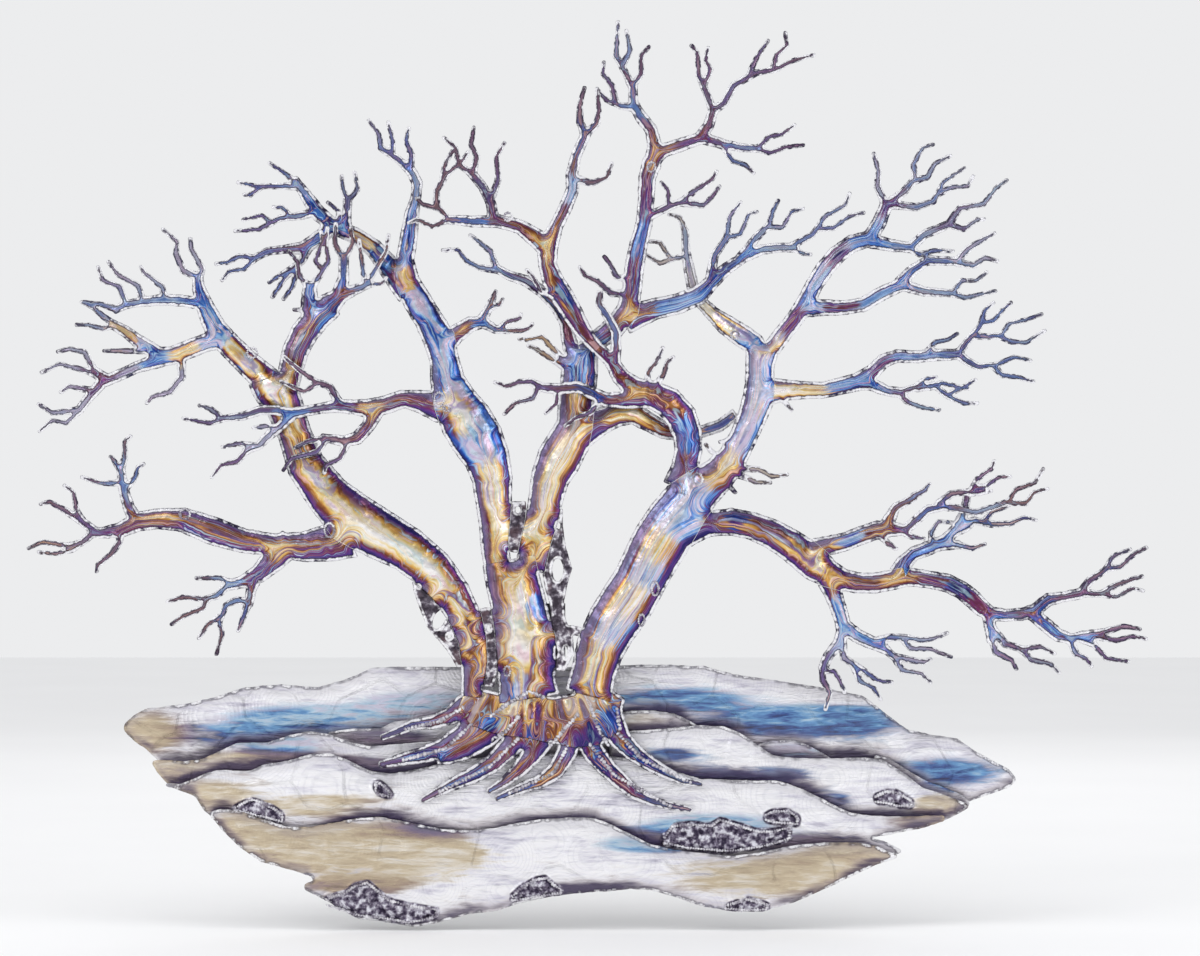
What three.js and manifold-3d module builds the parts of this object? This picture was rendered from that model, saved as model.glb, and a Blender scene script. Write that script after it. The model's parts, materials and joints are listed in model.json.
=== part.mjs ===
// Wall sculpture of a gnarled tree on layered hills: sheet steel, cut, hammered
// into crowned strips, welded together and carried off the wall by a flat-bar frame.
// Millimetres. X runs to the right, Z up, and the wall is the plane Y = 0, so depth
// off the wall is -Y. The origin is the middle of the wall bracket's back face.
import * as THREE from 'three'
import Module from 'manifold-3d'
import { mergeVertices } from 'three/addons/utils/BufferGeometryUtils.js'

const wasm = await Module()
wasm.setup()

// Driving dimensions
const overallWidth = 1115
const overallHeight = 903
const sheet = 2            // thickness of every formed plate
const gap = 0.3            // clearance between neighbouring pieces
const crown = 0.21         // rise of a stem's middle, per width
const rootRise = 0.16      // the same for a root
const slightRise = 0.08    // the same for the root crown and the lace
const solidBelow = 20      // widest strip that is solid bar and not hollow sheet
const broadFrom = 40       // strips broader than this are curved finely across
const twigTip = 3.2        // width of a twig's end
const twigSetBack = 0.5    // depth from a limb's edge back to its twigs' fronts
const hillRise = 6         // rise of a hill plate's middle

// The frame behind the sheets
const bar = { wide: 20, thick: 5 }
const bracket = { wide: 70, high: 70, thick: 4 }
const spine = { top: 62, bottom: -240 }
const ridgeBar = { z: -112, left: -292, right: 318 }
const frontBar = { z: -225, left: -168, right: 310 }
const post = { diameter: 10, shortest: 3.4 }
const bumper = { diameter: 18, inset: 3 }
const hanger = { wide: 28, high: 30, thick: 3 }
const slot = { wide: 7, high: 16, inset: 13 }

// Depths off the wall, from the wall bracket forward
const spineNear = bracket.thick + gap
const spineFar = spineNear + bar.thick
const barNear = spineFar + gap
const barFar = barNear + bar.thick
const firstHill = barFar + post.shortest + sheet
const layerStep = hillRise + sheet + 1
const hillLayer = (number) => firstHill + number * layerStep
const treeDepth = hillLayer(3) + hillRise + sheet + 2
const broadestCrossed = 50
const passOver = crown * broadestCrossed + sheet + 0.5
const passUnder = passOver + 2
const beyond = treeDepth + 60

// The lists below were drawn at these two sizes, so they stretch with the overall ones.
const stretch = { x: overallWidth / 1115, z: overallHeight / 903 }
const widthStretch = Math.min(stretch.x, stretch.z)

const steel = (color, roughness) => new THREE.MeshStandardMaterial({ color, metalness: 0.9, roughness })
const finish = {
  gold: steel(0xc9a25f, 0.3),
  peach: steel(0xd9b08f, 0.3),
  lilac: steel(0xb9aec9, 0.3),
  blue: steel(0x4a5f9e, 0.35),
  brown: steel(0x5a3328, 0.4),
  violet: steel(0x7a4a86, 0.35),
  silver: steel(0xb8b4b8, 0.35),
  ground: steel(0xd8d2d8, 0.35),
  tan: steel(0xb9a07c, 0.4),
  weld: steel(0x8d8890, 0.5),
  frame: steel(0x2e2e31, 0.6),
  rubber: new THREE.MeshStandardMaterial({ color: 0x18181a, metalness: 0, roughness: 0.85 }),
}

const sculpture = new THREE.Group()

function addNode(name, material, geometry) {
  const mesh = new THREE.Mesh(geometry, material)
  mesh.name = name
  sculpture.add(mesh)
}

function toSolid(geometry) {
  const bare = geometry.index ? geometry.clone() : mergeVertices(geometry)
  bare.deleteAttribute('normal')
  bare.deleteAttribute('uv')
  const merged = mergeVertices(bare, 1e-4)
  return new wasm.Manifold(new wasm.Mesh({
    numProp: 3,
    vertProperties: new Float32Array(merged.attributes.position.array),
    triVerts: new Uint32Array(merged.index.array),
  }))
}

function toGeometry(solid) {
  const { vertProperties, triVerts } = solid.getMesh()
  const geometry = new THREE.BufferGeometry()
  geometry.setAttribute('position', new THREE.BufferAttribute(new Float32Array(vertProperties), 3))
  geometry.setIndex(new THREE.BufferAttribute(new Uint32Array(triVerts), 1))
  return geometry
}

const join = (solids) => solids.reduce((whole, next) => whole.add(next))

// A strip is a box bent along stations of [x, z, width, lift]. section gives, for a
// place across the strip from -1 to 1, the depths of its front and its back face.
function bendStrip(stations, across, section) {
  const steps = stations.length - 1
  const box = new THREE.BoxGeometry(1, 1, 1, across, 1, steps)
  const vertex = box.attributes.position
  const centre = stations.map(([x, z]) => new THREE.Vector2(x * stretch.x, z * stretch.z))
  for (let i = 0; i < vertex.count; i++) {
    const at = Math.round((vertex.getZ(i) + 0.5) * steps)
    const side = vertex.getX(i) * 2
    const heading = centre[Math.min(at + 1, steps)].clone().sub(centre[Math.max(at - 1, 0)]).normalize()
    const width = stations[at][2] * widthStretch
    const [front, back] = section(side, width, stations[at][3])
    const depth = vertex.getY(i) < 0 ? front : back
    const reach = side * width / 2
    vertex.setXYZ(i, centre[at].x + heading.y * reach, -depth, centre[at].y - heading.x * reach)
  }
  return toSolid(box)
}

const widest = (stations) => Math.max(...stations.map((station) => station[2]))

// Broad strips are hollow behind, as a hammered sheet is. Slim ones are solid bar.
function formedStrip(stations, depth, across, rise) {
  const hollow = widest(stations) > solidBelow
  return bendStrip(stations, across, (side, width, lift) => {
    const front = depth + lift + rise * width * (1 - side * side)
    return [front, (hollow ? front : depth + lift) - sheet]
  })
}

// The room that a neighbour keeps clear of a limb: its outline widened by the gap.
function clearanceOf(limb) {
  const widened = limb.map(([x, z, width]) => [x, z, width + 2 * gap, 0])
  return bendStrip(widened, 1, () => [beyond, gap])
}

const withLift = (stations, lift) => stations.map(([x, z, width, own = lift]) => [x, z, width, own])

const taper = ([width, ...points], lift) => points.map(([x, z], i) => {
  const share = i / (points.length - 1)
  return [x, z, width + (twigTip - width) * share, lift]
})

// Limbs of every stem and bough by name, which later boughs are trimmed against.
const limbsOf = {}

// A bough is limbs of stations and twigs of [width, point, point, ...]. against names
// the boughs that it butts onto, and lift is how far it stands in front of the stems.
function grow(name, material, { limbs, twigs = [], against = [], lift = 0, rise = crown }) {
  const across = (limb) => (widest(limb) > broadFrom ? 4 : 2)
  const strips = [
    ...limbs.map((limb) => formedStrip(withLift(limb, lift), treeDepth, across(limb), rise)),
    ...twigs.map((twig) => formedStrip(taper(twig, lift), treeDepth - twigSetBack, 1, 0)),
  ]
  const room = against.flatMap((other) => limbsOf[other].map(clearanceOf))
  const solid = room.reduce((whole, cut) => whole.subtract(cut), join(strips))
  limbsOf[name] = limbs
  addNode(name, material, toGeometry(solid))
}

// ---------------------------------------------------------------- stems

grow('centre_trunk', finish.gold, {
  limbs: [[
    [0, -58, 60], [-3, -40, 57], [-3, -20, 58], [-4, 0, 60], [-8, 20, 56], [-12, 40, 55], [-17, 60, 54],
    [-21, 80, 52],
  ]],
})

grow('left_stem', finish.gold, {
  limbs: [[
    [-58, -56, 20], [-55, -22, 26], [-57, 0, 28], [-63, 20, 32], [-76, 45, 36], [-96, 70, 42],
    [-121, 90, 45], [-150, 106, 50], [-178, 122, 53], [-201, 145, 44], [-223, 175, 38], [-234, 206, 33],
    [-243, 231, 37], [-252, 248, 44], [-257, 262, 48],
  ]],
})

grow('right_stem', finish.peach, {
  limbs: [[
    [58, -55, 46], [64, -30, 44], [70, -8, 48], [82, 16, 52], [98, 40, 54], [110, 60, 52], [120, 80, 54],
    [131, 100, 56], [143, 119, 54], [156, 137, 50], [172, 152, 42], [188, 165, 35], [202, 182, 29],
    [212, 201, 27], [220, 219, 28], [227, 238, 31], [229, 256, 29], [229, 272, 28], [231, 288, 33],
  ]],
  twigs: [
    [5, [192, 180], [181, 188], [174, 196]],
    [6, [204, 200], [188, 197]],
    [8, [196, 168], [214, 171], [228, 170], [241, 163], [258, 165]],
    [7, [196, 168], [215, 162], [226, 157], [241, 157]],
    [5, [190, 160], [200, 152], [206, 146]],
  ],
})

grow('centre_left_stem', finish.lilac, {
  against: ['centre_trunk'],
  limbs: [
    [
      [-31, 70, 28], [-35, 95, 27], [-35, 118, 31], [-36, 140, 36], [-37, 160, 40], [-42, 180, 45],
      [-52, 200, 52], [-64, 220, 52], [-75, 240, 43], [-82, 260, 34], [-85, 280, 29], [-90, 300, 32],
      [-101, 320, 28], [-113, 340, 28], [-122, 358, 24], [-124, 380, 18], [-120, 402, 17], [-117, 425, 14],
      [-113, 441, 10], [-112, 455, 11], [-119, 470, 9],
    ],
  ],
  twigs: [
    [8, [-119, 466], [-118, 484], [-123, 498], [-120, 511]],
    [9, [-116, 464], [-130, 478], [-148, 490], [-150, 503], [-161, 519]],
    [7, [-138, 482], [-136, 496], [-141, 517]],
  ],
})

grow('centre_stem', finish.gold, {
  against: ['centre_trunk', 'centre_left_stem'],
  limbs: [[
    [0, 70, 30], [6, 98, 30], [12, 120, 32], [16, 140, 34], [20, 160, 38], [29, 180, 44], [39, 198, 42],
    [45, 215, 36], [46, 232, 36], [48, 250, 36], [50, 270, 36], [52, 290, 32],
  ]],
  twigs: [
    [7, [46, 268], [28, 285], [12, 302], [-2, 299], [-12, 300]],
    [7, [46, 264], [22, 280], [8, 289], [-3, 294]],
  ],
})

// ---------------------------------------------------------------- boughs on the left

grow('far_left_upper_bough', finish.lilac, {
  against: ['left_stem'],
  limbs: [
    [
      [-252, 250, 32], [-267, 264, 27], [-282, 277, 25], [-298, 293, 24], [-313, 311, 22], [-322, 330, 18],
      [-329, 350, 13], [-331, 364, 9],
    ],
    [[-322, 334, 12], [-345, 338, 11], [-365, 339, 11], [-385, 337, 9], [-402, 334, 8], [-414, 328, 7]],
    [[-305, 300, 20], [-320, 297, 18], [-338, 290, 18], [-356, 283, 18], [-375, 282, 19]],
    [[-368, 284, 15], [-390, 298, 13], [-403, 308, 11], [-416, 315, 9]],
    [[-366, 280, 16], [-390, 272, 11], [-410, 263, 11], [-425, 257, 11], [-436, 245, 10], [-449, 228, 8]],
  ],
  twigs: [
    [8, [-331, 362], [-345, 368], [-352, 385], [-351, 397], [-366, 410]],
    [8, [-330, 358], [-326, 370], [-337, 390], [-338, 401]],
    [7, [-363, 340], [-366, 352], [-383, 365], [-388, 373]],
    [7, [-385, 338], [-390, 353], [-410, 364], [-420, 378]],
    [7, [-402, 335], [-408, 352], [-425, 358], [-430, 373]],
    [7, [-410, 329], [-425, 334], [-445, 337]],
    [7, [-414, 315], [-424, 322], [-434, 331], [-447, 337]],
    [6, [-412, 314], [-425, 310], [-440, 314], [-452, 314]],
    [6, [-384, 288], [-405, 288], [-425, 288]],
    [8, [-418, 260], [-434, 270], [-443, 287], [-458, 290], [-471, 287]],
    [7, [-424, 260], [-440, 268], [-468, 275], [-487, 266]],
    [7, [-432, 248], [-448, 251], [-458, 253], [-468, 246]],
    [7, [-446, 230], [-460, 228], [-475, 226], [-490, 236]],
    [6, [-446, 230], [-462, 216], [-475, 219], [-489, 207]],
    [9, [-347, 284], [-346, 262], [-358, 247], [-376, 242], [-382, 235]],
  ],
})

grow('far_left_lower_bough', finish.brown, {
  against: ['left_stem'],
  limbs: [
    [
      [-178, 104, 44], [-200, 97, 37], [-225, 93, 30], [-255, 95, 22], [-285, 99, 24], [-315, 109, 28],
      [-345, 120, 24], [-370, 121, 20], [-390, 118, 19], [-407, 110, 15], [-425, 107, 11], [-440, 108, 10],
    ],
    [[-389, 114, 15], [-399, 133, 11], [-404, 150, 10], [-407, 172, 8]],
    [[-236, 100, 28], [-256, 79, 24], [-270, 66, 18], [-286, 58, 12], [-302, 54, 10]],
    [[-272, 66, 14], [-277, 50, 10], [-280, 34, 9]],
  ],
  twigs: [
    [7, [-407, 168], [-403, 182], [-403, 198], [-396, 204]],
    [6, [-406, 166], [-413, 178], [-418, 184]],
    [7, [-404, 158], [-418, 156], [-430, 157], [-447, 163]],
    [6, [-402, 150], [-392, 163], [-390, 172], [-383, 176]],
    [9, [-434, 110], [-448, 120], [-462, 129], [-478, 138], [-488, 135]],
    [6, [-443, 117], [-451, 130], [-454, 147], [-464, 155]],
    [8, [-434, 107], [-446, 97], [-460, 94], [-485, 98], [-500, 91]],
    [6, [-440, 102], [-455, 90], [-472, 86], [-490, 88]],
    [8, [-408, 110], [-408, 98], [-416, 86], [-430, 75], [-431, 67]],
    [7, [-296, 57], [-310, 62], [-333, 62]],
    [8, [-300, 55], [-312, 44], [-324, 41], [-345, 43], [-362, 38]],
    [7, [-320, 43], [-325, 32], [-345, 24], [-358, 15]],
    [8, [-280, 38], [-285, 22], [-291, 8]],
    [8, [-278, 38], [-292, 40], [-302, 35], [-309, 18], [-306, 6], [-312, -15]],
    [6, [-307, 24], [-320, 16], [-330, 1]],
  ],
})

grow('dark_left_bough', finish.brown, {
  against: ['left_stem', 'far_left_upper_bough'],
  limbs: [
    [[-242, 248, 23], [-238, 268, 24], [-233, 288, 26], [-224, 306, 27], [-211, 322, 27], [-196, 334, 24]],
    [[-214, 312, 22], [-219, 330, 18], [-219, 345, 15], [-218, 357, 12]],
    [[-204, 326, 22], [-190, 342, 17], [-185, 360, 11], [-185, 383, 9]],
    [[-204, 334, 20], [-188, 343, 15], [-174, 349, 10], [-158, 355, 7]],
  ],
  twigs: [
    [7, [-219, 352], [-229, 362], [-231, 377], [-241, 389]],
    [7, [-216, 353], [-207, 366], [-200, 378], [-203, 395], [-201, 412]],
    [6, [-205, 366], [-213, 378], [-206, 398], [-208, 408]],
    [5, [-218, 328], [-236, 329]],
    [5, [-214, 338], [-200, 339]],
    [7, [-185, 380], [-194, 394], [-193, 416]],
    [7, [-185, 380], [-176, 395], [-178, 412]],
    [6, [-162, 353], [-155, 367], [-143, 386], [-140, 405]],
    [6, [-164, 352], [-166, 370], [-170, 400]],
    [5, [-162, 354], [-147, 355], [-142, 362]],
  ],
})

grow('rear_left_bough', finish.blue, {
  against: ['centre_left_stem'],
  lift: -passUnder,
  limbs: [
    [
      [-119, 346, 28, 0], [-131, 360, 25, -passUnder / 2], [-142, 374, 22], [-156, 391, 18], [-173, 403, 16],
      [-195, 412, 15], [-210, 425, 15], [-219, 437, 13], [-228, 450, 10], [-236, 461, 8],
    ],
    [[-194, 416, 16], [-212, 400, 14], [-227, 391, 13], [-245, 390, 8], [-262, 388, 8], [-277, 380, 7]],
    [[-183, 400, 11], [-183, 420, 9], [-182, 442, 8]],
  ],
  twigs: [
    [6, [-235, 458], [-244, 465], [-261, 477]],
    [8, [-231, 453], [-245, 453], [-272, 453], [-293, 457]],
    [6, [-268, 453], [-280, 444], [-287, 445]],
    [9, [-212, 428], [-232, 423], [-250, 421], [-270, 410], [-296, 408]],
    [6, [-240, 423], [-247, 432], [-258, 432]],
    [6, [-258, 416], [-268, 424], [-288, 419]],
    [6, [-192, 415], [-191, 428], [-203, 438]],
    [6, [-182, 438], [-187, 452], [-188, 465]],
    [6, [-182, 438], [-172, 450], [-175, 468]],
    [7, [-275, 381], [-290, 383], [-302, 377], [-315, 375]],
    [6, [-273, 382], [-286, 370], [-300, 368], [-309, 358]],
    [9, [-221, 392], [-228, 378], [-239, 370], [-250, 364], [-262, 356]],
    [7, [-234, 373], [-246, 360], [-258, 341]],
    [6, [-232, 374], [-237, 353], [-247, 339]],
  ],
})

grow('front_left_spray', finish.violet, {
  against: ['centre_left_stem'],
  lift: passOver,
  limbs: [
    [
      [-74, 228, 34, 0], [-92, 233, 30, 2], [-110, 238, 22, 5], [-126, 240, 18, 8], [-143, 234, 18, 11],
      [-158, 230, 20], [-174, 232, 14], [-190, 233, 13], [-205, 231, 10], [-221, 228, 10], [-236, 225, 12],
      [-252, 229, 9], [-266, 229, 9], [-284, 223, 8], [-308, 220, 6],
    ],
    [[-234, 226, 12], [-247, 213, 9], [-259, 203, 9], [-268, 194, 8], [-284, 187, 7]],
    [[-152, 230, 18], [-160, 213, 13], [-171, 201, 13], [-183, 198, 11], [-207, 202, 7]],
  ],
  twigs: [
    [7, [-305, 220], [-316, 230], [-329, 234]],
    [7, [-305, 220], [-318, 216], [-345, 221]],
    [9, [-188, 235], [-198, 252], [-212, 257], [-230, 270], [-245, 283]],
    [6, [-211, 255], [-224, 247], [-248, 258]],
    [7, [-248, 211], [-262, 213], [-275, 211]],
    [7, [-270, 193], [-288, 196], [-306, 192]],
    [7, [-280, 189], [-290, 178], [-306, 174], [-316, 161]],
    [6, [-203, 201], [-219, 198], [-234, 191]],
    [7, [-200, 202], [-211, 187], [-236, 181], [-245, 168]],
    [7, [-180, 198], [-188, 181], [-202, 174], [-204, 165]],
  ],
})

grow('inner_left_bough', finish.brown, {
  against: ['centre_left_stem'],
  limbs: [
    [[-84, 296, 24], [-73, 305, 18], [-58, 315, 15], [-45, 316, 11], [-32, 308, 8]],
    [[-50, 315, 11], [-42, 328, 8], [-37, 340, 6]],
  ],
  twigs: [
    [7, [-38, 336], [-33, 349]],
    [6, [-40, 330], [-30, 334], [-26, 341]],
    [7, [-33, 308], [-22, 317], [-10, 320], [-8, 326]],
    [7, [-35, 309], [-18, 308], [-3, 309], [4, 316]],
  ],
})

// ---------------------------------------------------------------- boughs in the middle

grow('centre_rear_bough', finish.blue, {
  against: ['centre_stem'],
  limbs: [[
    [42, 288, 16], [39, 300, 15], [36, 316, 12], [27, 332, 12], [13, 347, 12], [-4, 358, 11], [-20, 363, 9],
    [-35, 371, 8],
  ]],
  twigs: [
    [7, [-33, 370], [-39, 387], [-50, 396], [-60, 404]],
    [7, [-30, 368], [-50, 371], [-62, 377], [-72, 389], [-88, 388]],
  ],
})

grow('tall_centre_bough', finish.violet, {
  against: ['centre_stem', 'centre_rear_bough'],
  limbs: [
    [
      [54, 286, 22], [68, 299, 20], [84, 311, 22], [98, 329, 22], [102, 350, 19], [104, 370, 19],
      [108, 392, 18], [114, 415, 16], [116, 440, 16], [117, 460, 17], [122, 478, 18],
    ],
    [[121, 470, 18], [125, 490, 15], [121, 508, 12], [110, 522, 12], [103, 535, 10], [103, 558, 7]],
    [[119, 474, 17], [132, 487, 14], [150, 493, 13], [168, 499, 12], [178, 512, 11], [183, 528, 9]],
    [[172, 500, 12], [195, 493, 9], [212, 490, 8], [229, 489, 7]],
  ],
  twigs: [
    [8, [103, 548], [97, 562], [86, 582], [87, 598], [88, 617]],
    [7, [92, 571], [100, 587], [96, 608]],
    [7, [103, 552], [111, 564], [111, 582], [120, 592]],
    [8, [104, 530], [90, 532], [76, 538], [67, 549]],
    [7, [86, 533], [82, 552], [73, 564], [74, 577]],
    [8, [183, 525], [176, 545], [168, 563], [167, 585], [160, 593]],
    [6, [174, 553], [180, 568], [175, 578], [178, 591]],
    [9, [181, 526], [194, 535], [203, 552], [226, 565], [245, 568], [262, 577], [284, 583]],
    [6, [218, 562], [226, 580], [238, 598]],
    [6, [242, 567], [246, 583], [256, 592], [254, 606]],
    [6, [226, 489], [238, 501], [252, 504], [265, 514]],
    [6, [226, 489], [240, 485], [255, 491], [274, 493]],
    [6, [191, 494], [202, 477], [215, 473], [224, 464]],
    [9, [114, 420], [135, 430], [150, 436], [164, 447], [182, 459], [187, 468]],
    [8, [150, 436], [173, 433], [181, 441], [190, 453]],
    [6, [138, 431], [138, 448], [130, 457]],
    [7, [102, 358], [86, 362], [80, 375], [73, 383]],
    [8, [100, 345], [82, 345], [68, 357], [55, 363], [49, 373]],
  ],
})

grow('right_rear_bough', finish.blue, {
  against: ['tall_centre_bough'],
  limbs: [
    [
      [94, 318, 28], [108, 324, 25], [126, 330, 21], [148, 335, 20], [168, 343, 19], [182, 357, 14],
      [196, 370, 12], [213, 381, 10], [232, 389, 10], [252, 391, 9], [268, 390, 8],
    ],
    [[179, 354, 11], [184, 383, 8], [198, 403, 7]],
    [[208, 379, 9], [225, 400, 8], [240, 415, 6]],
  ],
  twigs: [
    [6, [196, 401], [199, 422], [211, 437]],
    [6, [195, 401], [210, 404], [218, 424], [228, 427]],
    [6, [238, 412], [242, 427], [248, 439]],
    [6, [236, 411], [252, 411], [261, 427], [274, 430]],
    [7, [260, 392], [282, 404], [294, 422], [314, 433], [319, 446]],
    [6, [287, 410], [302, 410], [318, 422], [334, 426]],
    [5, [262, 390], [272, 385], [281, 384]],
  ],
})

grow('silver_rear_bough', finish.silver, {
  against: ['right_stem'],
  lift: -passUnder,
  limbs: [[
    [231, 282, 20, 0], [223, 295, 22, 0], [210, 304, 22, -3], [196, 314, 20, -8], [182, 326, 14],
    [170, 338, 12], [163, 352, 12], [159, 370, 11], [156, 388, 8], [155, 410, 7],
  ]],
  twigs: [
    [6, [156, 406], [150, 422], [138, 425]],
    [6, [156, 384], [141, 380], [130, 397], [119, 398]],
    [6, [144, 381], [130, 376], [115, 385]],
  ],
})

grow('bridge_limb', finish.gold, {
  against: ['centre_stem'],
  lift: -passUnder - sheet,
  limbs: [[
    [40, 192, 28, 0], [54, 206, 28, 0], [70, 218, 27, 0], [88, 225, 24, -4], [104, 226, 22, -11],
    [118, 218, 19], [134, 209, 17], [152, 206, 15], [172, 208, 12], [190, 214, 12], [206, 226, 11],
  ]],
})

grow('dark_crossing_bough', finish.brown, {
  against: ['right_stem'],
  lift: passOver,
  limbs: [
    [
      [146, 152, 28, 0], [154, 170, 27, 0], [158, 188, 27, 0], [157, 206, 29, 1], [151, 222, 31, 3],
      [138, 237, 30, 6], [120, 245, 27, 10], [103, 251, 22], [90, 263, 17], [81, 278, 14], [68, 290, 12],
    ],
    [[117, 241, 20], [95, 239, 17], [76, 239, 14], [62, 246, 12], [48, 252, 11], [30, 250, 11], [14, 251, 9]],
    [[84, 272, 12], [86, 290, 10], [86, 306, 9], [78, 321, 8], [69, 334, 7], [70, 347, 6]],
  ],
  twigs: [
    [8, [16, 250], [2, 257], [-10, 257], [-22, 252], [-36, 257]],
    [7, [10, 253], [3, 240], [-14, 236], [-26, 224]],
    [7, [28, 252], [27, 236], [15, 225]],
    [6, [72, 240], [60, 226], [46, 221], [34, 212]],
    [6, [118, 250], [117, 265], [128, 280], [133, 292]],
    [6, [122, 250], [133, 264], [137, 277], [144, 282]],
  ],
})

grow('crown_bough', finish.brown, {
  against: ['dark_crossing_bough'],
  lift: passOver,
  limbs: [
    [
      [74, 284, 12], [62, 296, 13], [52, 309, 17], [43, 325, 20], [32, 343, 22], [23, 358, 21], [18, 373, 18],
      [18, 392, 21], [27, 412, 13], [36, 430, 13], [43, 448, 13], [42, 462, 12], [46, 480, 10], [57, 505, 10],
    ],
    [[20, 388, 20], [5, 401, 18], [-10, 411, 14], [-30, 416, 13], [-55, 416, 11], [-84, 418, 8]],
    [[-35, 414, 12], [-38, 434, 10], [-46, 450, 9], [-60, 467, 9]],
  ],
  twigs: [
    [6, [-80, 418], [-88, 428], [-106, 433], [-113, 440]],
    [6, [-80, 418], [-96, 411], [-112, 418], [-121, 414]],
    [7, [-92, 428], [-92, 447], [-80, 465], [-68, 474], [-60, 486]],
    [6, [-86, 457], [-84, 472], [-76, 487]],
    [7, [-37, 440], [-31, 458], [-33, 480], [-24, 495]],
    [7, [-57, 464], [-70, 472], [-73, 489], [-86, 500]],
    [8, [-57, 462], [-52, 480], [-58, 492], [-55, 511]],
    [9, [56, 500], [50, 516], [50, 532], [55, 550]],
    [8, [56, 502], [67, 514], [69, 527], [67, 549]],
    [8, [44, 459], [62, 454], [77, 460], [82, 475]],
    [6, [40, 330], [26, 341], [12, 346], [3, 362], [-4, 369]],
    [6, [36, 342], [32, 356], [19, 376]],
  ],
})

// ---------------------------------------------------------------- boughs on the right

grow('upper_right_bough', finish.lilac, {
  against: ['right_stem', 'silver_rear_bough'],
  limbs: [
    [
      [230, 272, 22], [240, 289, 18], [252, 305, 17], [264, 320, 17], [275, 337, 18], [283, 353, 17],
      [293, 369, 18], [306, 384, 18], [321, 395, 17], [340, 400, 16],
    ],
    [[270, 330, 18], [290, 331, 16], [312, 331, 14], [332, 334, 14], [348, 344, 14], [374, 356, 13]],
    [[368, 355, 13], [382, 369, 11], [396, 378, 10], [428, 377, 8]],
    [[370, 354, 12], [393, 347, 9], [424, 345, 7]],
    [[337, 398, 15], [348, 416, 14], [356, 436, 12]],
    [[332, 399, 15], [360, 393, 12], [379, 391, 11], [393, 404, 9], [420, 415, 8]],
  ],
  twigs: [
    [8, [424, 376], [437, 390], [450, 398], [464, 406]],
    [8, [424, 376], [442, 373], [453, 381], [467, 377]],
    [6, [421, 345], [430, 358], [445, 358], [456, 367]],
    [6, [421, 345], [434, 341], [448, 344], [465, 348]],
    [8, [355, 432], [346, 452], [347, 468], [342, 486]],
    [9, [355, 433], [372, 446], [384, 460], [382, 474], [391, 490], [403, 494]],
    [7, [382, 457], [396, 461], [403, 474], [420, 483]],
    [9, [357, 434], [385, 431], [402, 437], [412, 456], [434, 471]],
    [6, [405, 443], [420, 451], [436, 452], [442, 463]],
    [8, [417, 414], [428, 430], [452, 434], [464, 450], [476, 459]],
    [7, [416, 414], [432, 409], [446, 419], [454, 419]],
    [7, [374, 392], [388, 384], [404, 388], [423, 387]],
  ],
})

grow('right_bough', finish.blue, {
  against: ['right_stem'],
  limbs: [
    [
      [224, 247, 30], [240, 248, 27], [257, 249, 20], [275, 249, 17], [293, 249, 16], [310, 253, 17],
      [326, 257, 18], [341, 267, 15], [352, 278, 14], [366, 283, 13], [384, 282, 12], [402, 284, 12],
      [418, 284, 11], [430, 286, 10],
    ],
    [[326, 258, 16], [340, 255, 13], [356, 248, 10], [375, 246, 10]],
  ],
  twigs: [
    [8, [427, 286], [436, 298], [448, 312], [453, 328], [463, 337]],
    [6, [449, 316], [462, 318], [470, 328], [480, 337]],
    [7, [442, 303], [456, 302], [470, 304], [477, 315], [494, 319], [511, 325]],
    [6, [467, 303], [480, 297], [494, 296], [514, 309]],
    [6, [394, 286], [404, 297], [416, 299], [427, 306]],
    [9, [427, 284], [437, 277], [447, 272], [464, 274], [482, 282], [500, 278]],
    [7, [462, 273], [470, 264], [485, 262], [503, 257]],
    [8, [369, 247], [384, 252], [394, 260], [406, 262]],
    [8, [384, 251], [404, 253], [416, 243], [432, 236], [447, 236]],
    [6, [394, 253], [410, 256], [424, 253], [438, 250]],
    [6, [414, 244], [426, 249], [445, 260]],
    [8, [366, 248], [377, 237], [390, 232], [409, 229]],
    [5, [246, 244], [256, 235], [262, 228]],
  ],
})

grow('lower_right_bough', finish.brown, {
  against: ['right_stem'],
  limbs: [
    [
      [140, 98, 32], [158, 108, 28], [178, 116, 25], [200, 118, 27], [221, 114, 27], [241, 106, 29],
      [258, 96, 31], [272, 86, 33], [285, 75, 34], [298, 66, 27], [312, 60, 22], [328, 57, 20], [344, 57, 20],
      [360, 60, 20], [374, 63, 19],
    ],
  ],
})

grow('lower_right_upper_arm', finish.peach, {
  against: ['lower_right_bough'],
  limbs: [
    [
      [278, 88, 24], [296, 94, 19], [314, 98, 18], [331, 105, 18], [347, 110, 18], [360, 111, 15],
      [374, 110, 11], [384, 119, 9], [396, 130, 9], [412, 134, 9],
    ],
    [[354, 112, 15], [364, 132, 9], [384, 143, 7]],
  ],
  twigs: [
    [7, [381, 143], [393, 149], [399, 157]],
    [8, [408, 134], [428, 131], [444, 127], [462, 133], [478, 139], [484, 150], [503, 157], [512, 172]],
    [6, [476, 137], [494, 136], [502, 147], [517, 151]],
    [8, [406, 135], [420, 146], [438, 148], [446, 161], [460, 171], [463, 180]],
    [7, [441, 152], [454, 153], [466, 162], [480, 163]],
    [5, [436, 146], [448, 146], [461, 149]],
    [8, [346, 108], [356, 97], [366, 90]],
    [8, [368, 110], [380, 103], [394, 101]],
  ],
})

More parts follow.
